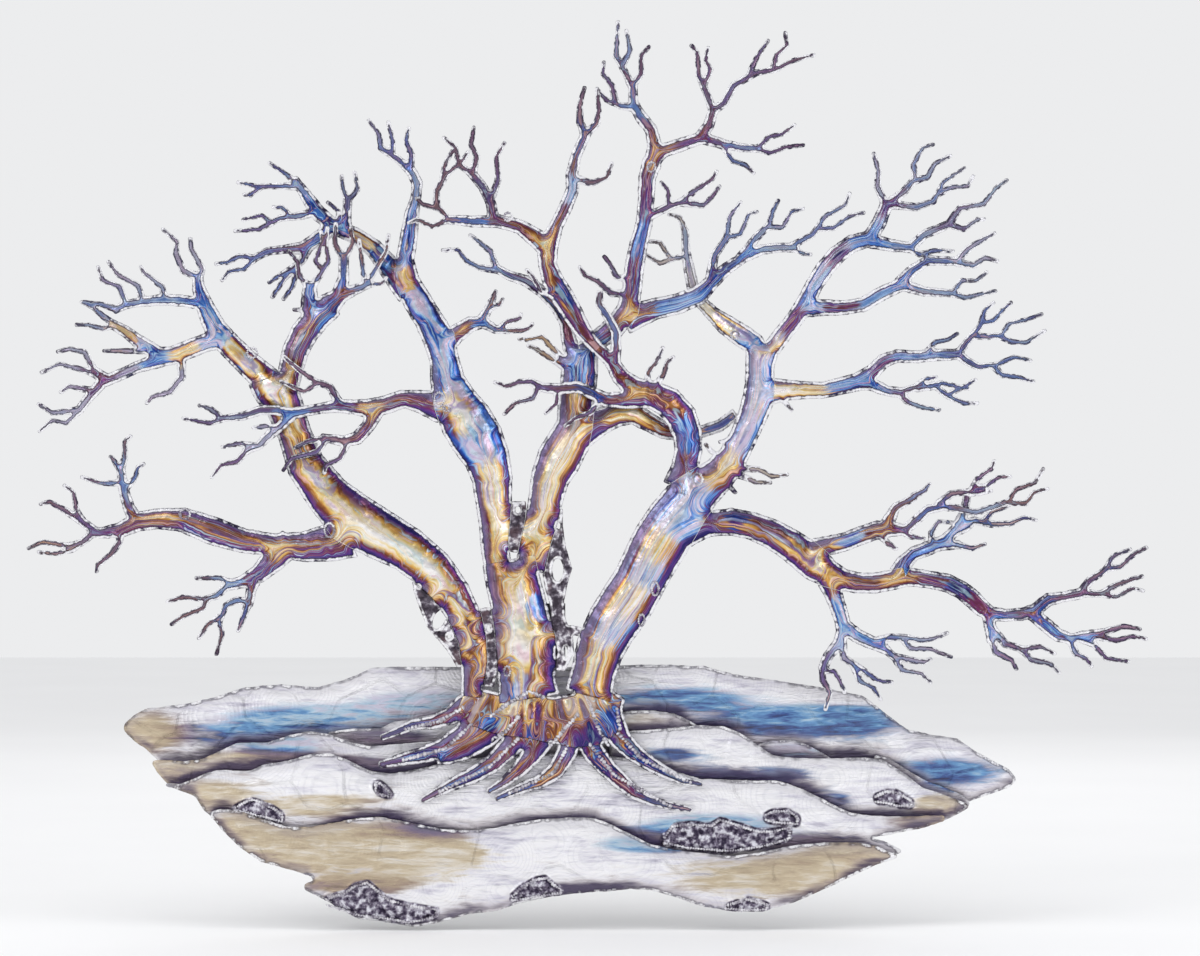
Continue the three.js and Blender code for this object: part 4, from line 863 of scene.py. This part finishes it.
limb = {
    "step": 0.8,           # size of a cell
    "margin": 30,          # grid left round a piece, at least its half breadth
    "breadths": [1.5, 2.2, 3, 4, 5, 6.5, 8, 10, 12.5, 15.5, 19, 23, 27],
    "rimHeight": 1.5,
    "rimReach": 1.7,       # half the weld's width on a stem
    "swell": 0.8,          # how far the weld bulges out past the cut edge
    "dent": 1.1,           # depth of the hammering
    "laceLump": 2.6,       # height of the lumps on lace
    "fanFrom": (8, 50),    # where the ridges of the root crown would meet
    "ridge": 3.2,          # their height
    "sheet": 2.0,
    "hammerSize": (15, 6.5),
    "laceSize": (5.5, 2.8),
    "swellSize": 3.2,
    "rimLump": 3.6,
    "rimThin": 19,         # length of the stretches where the rim thins
    "rimLeast": 0.75,
    "deepest": 28,         # how far in the depth is measured
}


def partnersOf(name):
    onto = weldedTo.get(name, [])
    return onto + [other for other, names in weldedTo.items() if name in names]


# Half the breadth of the limb round each cell
def breadthRound(depth):
    breadth = np.full(depth.shape, limb["breadths"][0])
    for half in limb["breadths"]:
        core = (depth >= half * 0.92).astype(float)
        if core.any():
            breadth = np.maximum(breadth, half * highest(core, int(half * 0.9 / limb["step"])))
    return blurred(breadth, 2.5)


def limbPiece(name):
    step = limb["step"]
    cells = Cells(name, step, limb["margin"])
    cover, _, back = cells.fill([name])
    wholeCover, front, _ = cells.fill([name] + partnersOf(name))
    whole = closed(wholeCover)
    field, wholeField = blurred(cover, blur["outline"]), blurred(whole, blur["outline"])
    depth = blurred(depthInside(wholeField > 0.5, int(limb["deepest"] / step)), 0.8) * step
    breadth = breadthRound(depth)
    share = np.clip(depth / breadth, 0, 1)

    fine, _ = blurredWithin(front, wholeCover > 0, blur["fine"])
    soft, _ = blurredWithin(front, wholeCover > 0, blur["soft"])
    inward = np.clip(depth / 8, 0, 1)
    surface = fine * (1 - inward) + soft * inward
    wide, narrow = limb["hammerSize"]
    hammer = bumps(cells.x, cells.z, wide, 1) + 0.5 * bumps(cells.x, cells.z, narrow, 2) - 0.75
    surface -= hammer * limb["dent"] * np.clip(breadth / 12, 0.15, 1)

    reach = np.clip(0.34 * breadth, limb["rimLeast"], limb["rimReach"])
    uneven = np.clip(0.45 + 0.8 * bumps(cells.x, cells.z, limb["rimLump"], 3), 0, 1)
    thin = np.clip(0.6 + 0.8 * bumps(cells.x, cells.z, limb["rimThin"], 4), 0, 1)
    rim = weldCrest(depth, reach) * uneven * thin
    surface -= rim * limb["rimHeight"] * (0.4 + 0.6 * reach / limb["rimReach"])
    if name in laceNames:
        wide, narrow = limb["laceSize"]
        lumps = bumps(cells.x, cells.z, wide, 5) * 0.6 + bumps(cells.x, cells.z, narrow, 6) * 0.4
        surface -= lumps * limb["laceLump"]

    # which side of a limb faces the light, 1 on the lit side: it bends the streaks and places the painted
    # highlight and the painted grey-lilac on the lit flank
    slopeX, slopeZ = np.gradient(blurred(depth, 2.0))
    lean = 0.5 + 0.5 * (0.7 * slopeX - 0.7 * slopeZ) / np.maximum(np.hypot(slopeX, slopeZ), 0.12)
    swell = openEdge(wholeField) * limb["swell"] * bumps(cells.x, cells.z, limb["swellSize"], 7)
    heat, spots = limbHeat.get(name, (0.6, []))
    upright = np.full(share.shape, float(name == "root_crown"))
    fan = (cells.x - limb["fanFrom"][0]) / (limb["fanFrom"][1] - cells.z)
    ridge = np.clip(0.12 + 1.1 * bumps(fan * 100, cells.z * 0.12, 6.5, 8), 0, 1)
    ridge = ridge * np.clip(depth / 5, 0, 1)
    if name == "root_crown":
        stems, _, _ = cells.fill(weldedTo[name])
        foot = np.clip(3.4 * blurred(stems, 7.0), 0, 1)
        share = ridge * (1 - foot) + (0.45 + 0.45 * ridge) * foot
    surface -= upright * (ridge - 0.4) * limb["ridge"] * inward
    behind, _ = blurredWithin(back, cover > 0, blur["fine"])
    behind = np.maximum(behind, surface + limb["sheet"] * 0.7)
    marks = {
        **heatOver(name, cells, heat, spots),
        "upright": upright,
        "fan": fan * 0.1,
        "share": share,
        "broad": np.clip((breadth - 3.5) / 14, 0, 1),
        "lean": blurred(lean, blur["mark"]),
        "rim": rim,
    }
    kind = "lace" if name in laceNames else "tree"
    setSheet(kind, name, cells, field, surface, behind, swell, marks)


for name in list(limbHeat) + laceNames:
    limbPiece(name)
print("tree made")


# The hills

# Tempered patches on each plate: (right share, up share, heat, reach right, reach up)
hillPatches = {
    "back_ridge_plate": [
        (0.18, 0.49, 0.77, 90, 12), (0.20, 0.62, 0.88, 80, 14), (0.62, 0.76, 0.80, 70, 12),
        (0.75, 0.56, 0.77, 115, 12), (0.78, 0.66, 0.87, 90, 9), (0.92, 0.24, 0.80, 56, 16),
        (0.02, 0.52, 0.20, 36, 20), (0.34, 0.69, 0.98, 60, 20),
    ],
    "left_slim_ridge": [(0.38, 0.38, 0.62, 50, 8)],
    "right_rear_knoll": [(0.31, 0.65, 0.12, 30, 9)],
    "right_small_mound": [(0.46, 0.59, 0.98, 30, 8)],
    "right_slim_ridge": [(0.58, 0.38, 0.78, 40, 7)],
    "left_rear_strip": [
        (0.10, 0.30, 0.20, 60, 14), (0.30, 0.45, 0.18, 70, 11), (0.42, 0.80, 0.98, 40, 10),
        (0.63, 0.45, 0.66, 50, 9),
    ],
    "right_middle_plate": [
        (0.17, 0.72, 0.77, 26, 7), (0.28, 0.52, 0.76, 30, 8), (0.46, 0.52, 0.78, 34, 7),
        (0.61, 0.27, 0.76, 26, 9), (0.91, 0.22, 0.20, 26, 12),
    ],
    "main_root_plate": [
        (0.05, 0.62, 0.20, 50, 16), (0.20, 0.56, 0.15, 50, 10), (0.27, 0.39, 0.64, 50, 9),
        (0.59, 0.30, 0.66, 80, 9), (0.80, 0.26, 0.66, 70, 9), (0.98, 0.42, 0.30, 34, 9),
        (0.70, 0.42, 0.92, 60, 9),
    ],
    "front_plate": [
        (0.05, 0.76, 0.22, 60, 26), (0.19, 0.68, 0.20, 80, 26), (0.33, 0.60, 0.14, 50, 20),
        (0.95, 0.60, 0.24, 50, 20), (0.82, 0.44, 0.20, 90, 22), (0.21, 0.36, 0.34, 50, 10),
        (0.32, 0.82, 0.80, 34, 7), (0.64, 0.70, 0.90, 50, 8),
    ],
}

hill = {
    "step": 1.4,
    "margin": 8,
    "rimHeight": 1.0,
    "rimReach": 1.5,
    "swell": 0.8,
    "roll": 2.2,           # height of the long waves in a plate
    "rockHeight": 7,
    "rockSpill": 2,        # how far a rock spreads past its outline
    "shade": 22,           # how far the dark runs up from the edge in front
    "rollSize": (70, 24),
    "boulderSize": (11, 5),
    "swellSize": 4.0,
    "rimLump": 4.5,
    "rimThin": 34,         # length of the stretches where the rim thins
    "rimCells": 8,         # how far in the depth is measured
}


# Weld built up into rocks, as columns of (right share, top's up share, foot's up share)
rocks = {
    "main_root_plate": [
        [(0.09, 0.55, 0.53), (0.11, 0.62, 0.50), (0.12, 0.60, 0.48), (0.14, 0.54, 0.45), (0.15, 0.49, 0.43)],
        [(0.27, 0.74, 0.71), (0.27, 0.77, 0.68), (0.28, 0.73, 0.65), (0.29, 0.67, 0.64)],
        [
            (0.64, 0.30, 0.25), (0.65, 0.39, 0.24), (0.67, 0.41, 0.21), (0.70, 0.40, 0.20),
            (0.71, 0.45, 0.19), (0.73, 0.41, 0.19), (0.76, 0.35, 0.22), (0.78, 0.35, 0.25),
            (0.80, 0.39, 0.29),
        ],
        [(0.77, 0.49, 0.45), (0.78, 0.52, 0.43), (0.80, 0.52, 0.42), (0.81, 0.47, 0.41)],
    ],
    "right_middle_plate": [[(0.74, 0.31, 0.26), (0.77, 0.36, 0.25), (0.80, 0.35, 0.22), (0.84, 0.27, 0.22)]],
    "front_plate": [
        [
            (0.17, 0.24, 0.19), (0.20, 0.30, 0.14), (0.21, 0.35, 0.11), (0.23, 0.38, 0.09),
            (0.24, 0.33, 0.09), (0.26, 0.23, 0.07), (0.29, 0.18, 0.04), (0.33, 0.15, 0.09),
        ],
        [
            (0.44, 0.26, 0.23), (0.45, 0.32, 0.23), (0.47, 0.40, 0.26), (0.49, 0.42, 0.27),
            (0.50, 0.36, 0.28), (0.51, 0.32, 0.29),
        ],
        [(0.75, 0.18, 0.16), (0.77, 0.22, 0.15), (0.78, 0.24, 0.15), (0.80, 0.21, 0.15), (0.81, 0.19, 0.16)],
    ],
}


# Where a plate's rocks stand, from 0 to 1 at their middles
def rockOver(name, cells):
    low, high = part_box(name)
    size = (high - low) / mm
    over = np.zeros(cells.x.shape)
    for columns in rocks.get(name, []):
        across, top, foot = (np.array(column) for column in zip(*columns))
        x = low.x / mm + across * size.x
        upper, lower = (low.z / mm + np.interp(cells.x, x, edge * size.z) for edge in (top, foot))
        spill = hill["rockSpill"]
        inside = (cells.x > x[0] - spill) & (cells.x < x[-1] + spill)
        inside &= (cells.z < upper + spill) & (cells.z > lower - spill)
        over = np.maximum(over, blurred(inside.astype(float), blur["fine"]))
    return over


# How near each cell of a mask lies to the mask's lower edge and upper edge, in its own column
def nearEdges(mask, reach):
    rows = np.broadcast_to(np.arange(mask.shape[1]), mask.shape)
    foot = np.maximum.accumulate(np.where(mask, -1, rows), axis=1)
    top = np.minimum.accumulate(np.where(mask, mask.shape[1], rows)[:, ::-1], axis=1)[:, ::-1]
    return [np.clip(1 - distance / reach, 0, 1) for distance in (rows - foot, top - rows)]


def hillPiece(name):
    step = hill["step"]
    cells = Cells(name, step, hill["margin"])
    cover, front, back = cells.fill([name])
    field = blurred(cover, blur["outline"])
    inside = field > 0.5
    depth = blurred(depthInside(inside, hill["rimCells"]), 0.7) * step
    surface, _ = blurredWithin(front, cover > 0, blur["soft"])
    behind, _ = blurredWithin(back, cover > 0, blur["soft"])
    wide, narrow = hill["rollSize"]
    waves = bumps(cells.x, cells.z * 2.2, wide, 11) + 0.4 * bumps(cells.x, cells.z * 1.8, narrow, 12)
    waves -= 0.7
    surface -= waves * hill["roll"]
    behind -= waves * hill["roll"]

    uneven = np.clip(0.1 + 1.2 * bumps(cells.x, cells.z, hill["rimLump"], 13), 0, 1)
    thin = np.clip(1.9 * bumps(cells.x, cells.z, hill["rimThin"], 14) - 0.15, 0, 1)
    rim = weldCrest(depth, hill["rimReach"]) * uneven * thin
    surface -= rim * hill["rimHeight"]

    # the part that no plate in front hides
    others = [other for other in hillPatches if other != name]
    cover, nearer, _ = cells.fill(others)
    shown = inside & ~((cover > 0.5) & (nearer < front))
    # how near each shown cell lies to its lower and upper edges, for the painted shade there
    below, above = nearEdges(shown, hill["shade"] / step)

    rock = rockOver(name, cells)
    wide, narrow = hill["boulderSize"]
    boulders = bumps(cells.x, cells.z, wide, 16) * 0.6 + bumps(cells.x, cells.z, narrow, 17) * 0.4
    surface -= rock * boulders * hill["rockHeight"]
    rock = rock * np.clip(0.25 + 1.2 * boulders, 0, 1)

    tint, heat = np.zeros(field.shape), np.full(field.shape, 1e-3)
    for across, up, value, reachX, reachZ in hillPatches[name]:
        x, z = spotOn(name, across, up)
        near = np.exp(-((cells.x - x) / reachX) ** 2 - ((cells.z - z) / reachZ) ** 2)
        tint += near
        heat += near * value
    marks = {
        "rock": rock,
        "below": blurred(below * inside, blur["mark"]),
        "above": blurred(above * inside, blur["mark"]),
        "tint": np.clip(tint, 0, 1),
        "temper": heat / np.maximum(tint, 1e-3),
        "rim": rim,
    }
    swell = openEdge(field) * hill["swell"] * bumps(cells.x, cells.z, hill["swellSize"], 15)
    setSheet("hill", name, cells, field, surface, behind, swell, marks)


for name in hillPatches:
    hillPiece(name)
print("hills made")


# Beads of weld, strung along runs

weld = {
    "spacing": 2.1 / 1.35,  # between beads, in their radii
    "uneven": 0.45,
    "seed": 4,
    "chainRadius": 2.3,
    "ringRadius": 1.4,
    "rockRadius": 1.7,
    "ringPoints": 14,
}

# Runs of (right share, up share) over a piece, where roots and burrs carry a chain of beads
beadRuns = {
    "root_crown": [
        [(0.72, 0.57), (0.64, 0.33), (0.56, 0.05)],
        [(0.80, 0.67), (0.85, 0.29), (0.90, 0.05)],
        [(0.20, 0.55), (0.31, 0.78), (0.43, 0.98), (0.51, 0.88)],
        [(0.36, 0.53), (0.29, 0.29), (0.21, 0.15)],
        [(0.95, 0.67), (0.97, 0.33)],
    ],
    "outer_left_root": [[(0.98, 0.70), (0.70, 0.40), (0.30, 0.24)]],
    "left_root": [[(0.74, 0.86), (0.53, 0.38), (0.20, 0.16)]],
    "long_left_root": [[(0.74, 0.95), (0.52, 0.53), (0.15, 0.17)]],
    "middle_root": [[(0.87, 0.98), (0.70, 0.50), (0.18, 0.15)]],
    "lower_right_root": [[(0.10, 0.99), (0.31, 0.55), (0.80, 0.09)]],
    "outer_right_root": [[(0.11, 0.72), (0.36, 0.37), (0.87, 0.05)]],
}

# Rings of (right share, up share, half width, half height) round knots
knotRings = {
    "left_stem": [(0.34, 0.51, 5, 7)],
    "far_left_upper_bough": [(0.88, 0.39, 5, 5)],
    "far_left_lower_bough": [(0.48, 0.64, 5, 5)],
    "right_stem": [(0.59, 0.63, 5, 6), (0.34, 0.23, 3, 6), (0.40, 0.32, 3.5, 7)],
    "centre_left_stem": [(0.50, 0.37, 5, 7), (0.55, 0.35, 3, 3)],
    "crown_bough": [(0.49, 0.51, 4, 4)],
    "tall_centre_bough": [(0.31, 0.56, 4, 5)],
    "silver_rear_bough": [(0.72, 0.12, 4, 4)],
    "centre_trunk": [(0.32, 0.22, 3, 5)],
}


# A point on a piece's front, in millimetres, from its shares across and up
def onFront(name, across, up):
    cells, surface = surfaces[name]
    x, z = spotOn(name, across, up)
    column = int((x - cells.left) / cells.step)
    row = int((z - cells.low) / cells.step)
    near = surface[max(column - 2, 0):column + 3, max(row - 2, 0):row + 3]
    return Vector((x, near.min(), z))


def knotRing(name, across, up, halfWide, halfHigh):
    low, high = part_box(name)
    size = (high - low) / mm
    turns = [2 * np.pi * k / weld["ringPoints"] for k in range(weld["ringPoints"] + 1)]
    return [
        onFront(name, across + halfWide * np.cos(t) / size.x, up + halfHigh * np.sin(t) / size.z)
        for t in turns
    ]


# A rock's outline, along its top and back along its foot
def rockOutline(name, columns):
    top = [onFront(name, across, up) for across, up, _ in columns]
    foot = [onFront(name, across, down) for across, _, down in columns]
    return top + foot[::-1]


def beadTree():
    tree = bpy.data.node_groups.new("weldBeads", "GeometryNodeTree")
    kinds = {
        "Geometry": "Geometry", "Spacing": "Float", "Radius": "Float", "Uneven": "Float", "Seed": "Int",
        "Material": "Material",
    }
    ids = {
        label: tree.interface.new_socket(label, in_out="INPUT", socket_type="NodeSocket" + kind).identifier
        for label, kind in kinds.items()
    }
    tree.interface.new_socket("Geometry", in_out="OUTPUT", socket_type="NodeSocketGeometry")
    new = tree.nodes.new
    given, made = new("NodeGroupInput"), new("NodeGroupOutput")

    curve, even = new("GeometryNodeMeshToCurve"), new("GeometryNodeResampleCurve")
    even.mode = "LENGTH"
    ball, beads = new("GeometryNodeMeshIcoSphere"), new("GeometryNodeInstanceOnPoints")
    ball.inputs["Subdivisions"].default_value = 1
    size, spin, least, most = (new(kind) for kind in (
        "FunctionNodeRandomValue", "FunctionNodeRandomValue", "ShaderNodeMath", "ShaderNodeMath",
    ))
    size.data_type = spin.data_type = "FLOAT_VECTOR"
    spin.inputs[1].default_value = [6.28] * 3
    least.operation, most.operation = "SUBTRACT", "ADD"
    least.inputs[0].default_value = most.inputs[0].default_value = 1.0
    real, paint, smooth = (new(kind) for kind in (
        "GeometryNodeRealizeInstances", "GeometryNodeSetMaterial", "GeometryNodeSetShadeSmooth",
    ))
    for source, output, target, socket in [
        (given, "Geometry", curve, "Mesh"), (curve, "Curve", even, "Curve"),
        (given, "Spacing", even, "Length"), (given, "Radius", ball, "Radius"),
        (given, "Uneven", least, 1), (given, "Uneven", most, 1), (least, 0, size, 0),
        (most, 0, size, 1), (given, "Seed", size, "Seed"), (given, "Seed", spin, "Seed"),
        (even, "Curve", beads, "Points"), (ball, "Mesh", smooth, "Geometry"),
        (smooth, "Geometry", beads, "Instance"), (size, 0, beads, "Scale"),
        (spin, 0, beads, "Rotation"), (beads, "Instances", real, "Geometry"),
        (real, "Geometry", paint, "Geometry"), (given, "Material", paint, "Material"),
        (paint, "Geometry", made, "Geometry"),
    ]:
        tree.links.new(source.outputs[output], target.inputs[socket])
    return tree, ids


def stringBeads(name, runs, radius):
    points = [point * mm for run in runs for point in run]
    edges, start = [], 0
    for run in runs:
        edges += [(start + k, start + k + 1) for k in range(len(run) - 1)]
        start += len(run)
    wires = bpy.data.meshes.new(name)
    wires.from_pydata(points, edges, [])
    carrier = bpy.data.objects.new(name + "_runs", wires)
    bpy.context.scene.collection.objects.link(carrier)
    modifier = carrier.modifiers.new("beads", "NODES")
    modifier.node_group, ids = beads
    inputs = {
        "Spacing": weld["spacing"] * radius * mm, "Radius": radius * mm,
        "Uneven": weld["uneven"], "Seed": weld["seed"], "Material": finish["bead"],
    }
    for label, value in inputs.items():
        modifier[ids[label]] = value
    graph = bpy.context.evaluated_depsgraph_get()
    mesh = bpy.data.meshes.new_from_object(carrier.evaluated_get(graph), depsgraph=graph)
    bpy.data.objects.remove(carrier)
    piece = bpy.data.objects.new(name, mesh)
    bpy.context.scene.collection.objects.link(piece)
    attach(piece, "root")


beads = beadTree()
chains = [[onFront(name, *place) for place in run] for name, runs in beadRuns.items() for run in runs]
rings = [knotRing(name, *ring) for name, found in knotRings.items() for ring in found]
stones = [rockOutline(name, columns) for name, found in rocks.items() for columns in found]
stringBeads("root_bead_chains", chains, weld["chainRadius"])
stringBeads("knot_rings", rings, weld["ringRadius"])
stringBeads("rock_beads", stones, weld["rockRadius"])
print("beads made")


# The frame behind the sheets keeps its own shape

frameFinish = {"frame": finish["paint"], "rubber": finish["rubber"]}
for name, slot in slotOf.items():
    if slot in frameFinish:
        for place in frame["nodes"][name].material_slots:
            place.material = frameFinish[slot]


# Floor, light and camera

low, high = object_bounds()
middle = (low + high) / 2
room = {
    "floorBelow": 0.004,
    "floorReach": 6.0,
    "distance": 4.0,       # from the camera to the sculpture
    "frameWide": 1.2,      # width that the camera sees there
    "aside": 0.0125,       # camera's place from the middle of the sculpture
    "below": 0.0045,
}


def paleFloor():
    f = Finish("paleFloor")
    mottle = f.noise(f.place(), 3.0, 3.0)
    colour = f.mixed(mottle, (0.88, 0.88, 0.885), (0.92, 0.92, 0.925))
    return f.close(Base_Color=colour, Roughness=0.9, Specular_IOR_Level=0.0)


floorLevel = low.z - room["floorBelow"]
floorCorners = [
    (x * room["floorReach"], y * room["floorReach"], floorLevel)
    for x, y in ((-1, -1), (1, -1), (1, 1), (-1, 1))
]
floorMesh = bpy.data.meshes.new("floor")
floorMesh.from_pydata(floorCorners, [], [(0, 1, 2, 3)])
floorMesh.materials.append(paleFloor())
floor = bpy.data.objects.new("floor", floorMesh)
bpy.context.scene.collection.objects.link(floor)
floor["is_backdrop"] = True


def softLight(name, place, size, power, colour=(1, 1, 1)):
    light = bpy.data.lights.new(name, "AREA")
    light.shape = "RECTANGLE"
    light.size, light.size_y = size
    light.energy = power
    light.color = colour
    lamp = bpy.data.objects.new(name, light)
    lamp.location = place
    lamp.rotation_mode = "QUATERNION"
    lamp.rotation_quaternion = (middle - Vector(place)).to_track_quat("-Z", "Y")
    bpy.context.scene.collection.objects.link(lamp)


softLight("keyLight", (-1.9, -2.3, 1.9), (1.4, 1.4), 20)
softLight("fillLight", (2.4, -2.2, 0.7), (1.2, 2.0), 13, (0.93, 0.96, 1.0))
softLight("topLight", (0.2, -0.9, 2.6), (2.2, 0.7), 10)
softLight("rearLight", (0.4, 2.4, 1.4), (2.0, 1.2), 8)

# The world is pale, and what the metal mirrors is a bright room with darker sides
world = bpy.data.worlds.new("paleRoom")
world.use_nodes = True
bpy.context.scene.world = world
w = Shading(world.node_tree)
height = w.node("SeparateXYZ", output=2, Vector=w.node("TexCoord", output=0))
mirrored = w.ramp(height * 0.5 + 0.5, [
    (0.15, (0.02, 0.02, 0.03)),
    (0.40, (0.08, 0.08, 0.10)),
    (0.50, (0.46, 0.46, 0.48)),
    (0.60, (0.72, 0.72, 0.74)),
    (0.92, (0.10, 0.11, 0.14)),
])
paths = w.node("LightPath", output="Is Glossy Ray")
seen = w.mixed(paths, (0.84, 0.845, 0.855), mirrored)
w.node("OutputWorld", Surface=w.node("Background", Color=seen, Strength=1.0))

camera = bpy.data.objects.new("camera", bpy.data.cameras.new("camera"))
bpy.context.scene.collection.objects.link(camera)
camera.data.sensor_width = 36
camera.data.lens = camera.data.sensor_width * room["distance"] / room["frameWide"]
cadMiddle = (cadBox[0] + cadBox[1]) / 2
camera.location = (
    cadMiddle.x + room["aside"], cadMiddle.y - room["distance"], cadMiddle.z - room["below"],
)
camera.rotation_euler = (np.pi / 2, 0, 0)
camera.data.clip_end = 50
bpy.context.scene.camera = camera
bpy.context.scene.view_settings.view_transform = "Standard"

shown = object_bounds()
for box in (cadBox, shown):
    json.dumps([list(corner) for corner in box])
print("scene made")
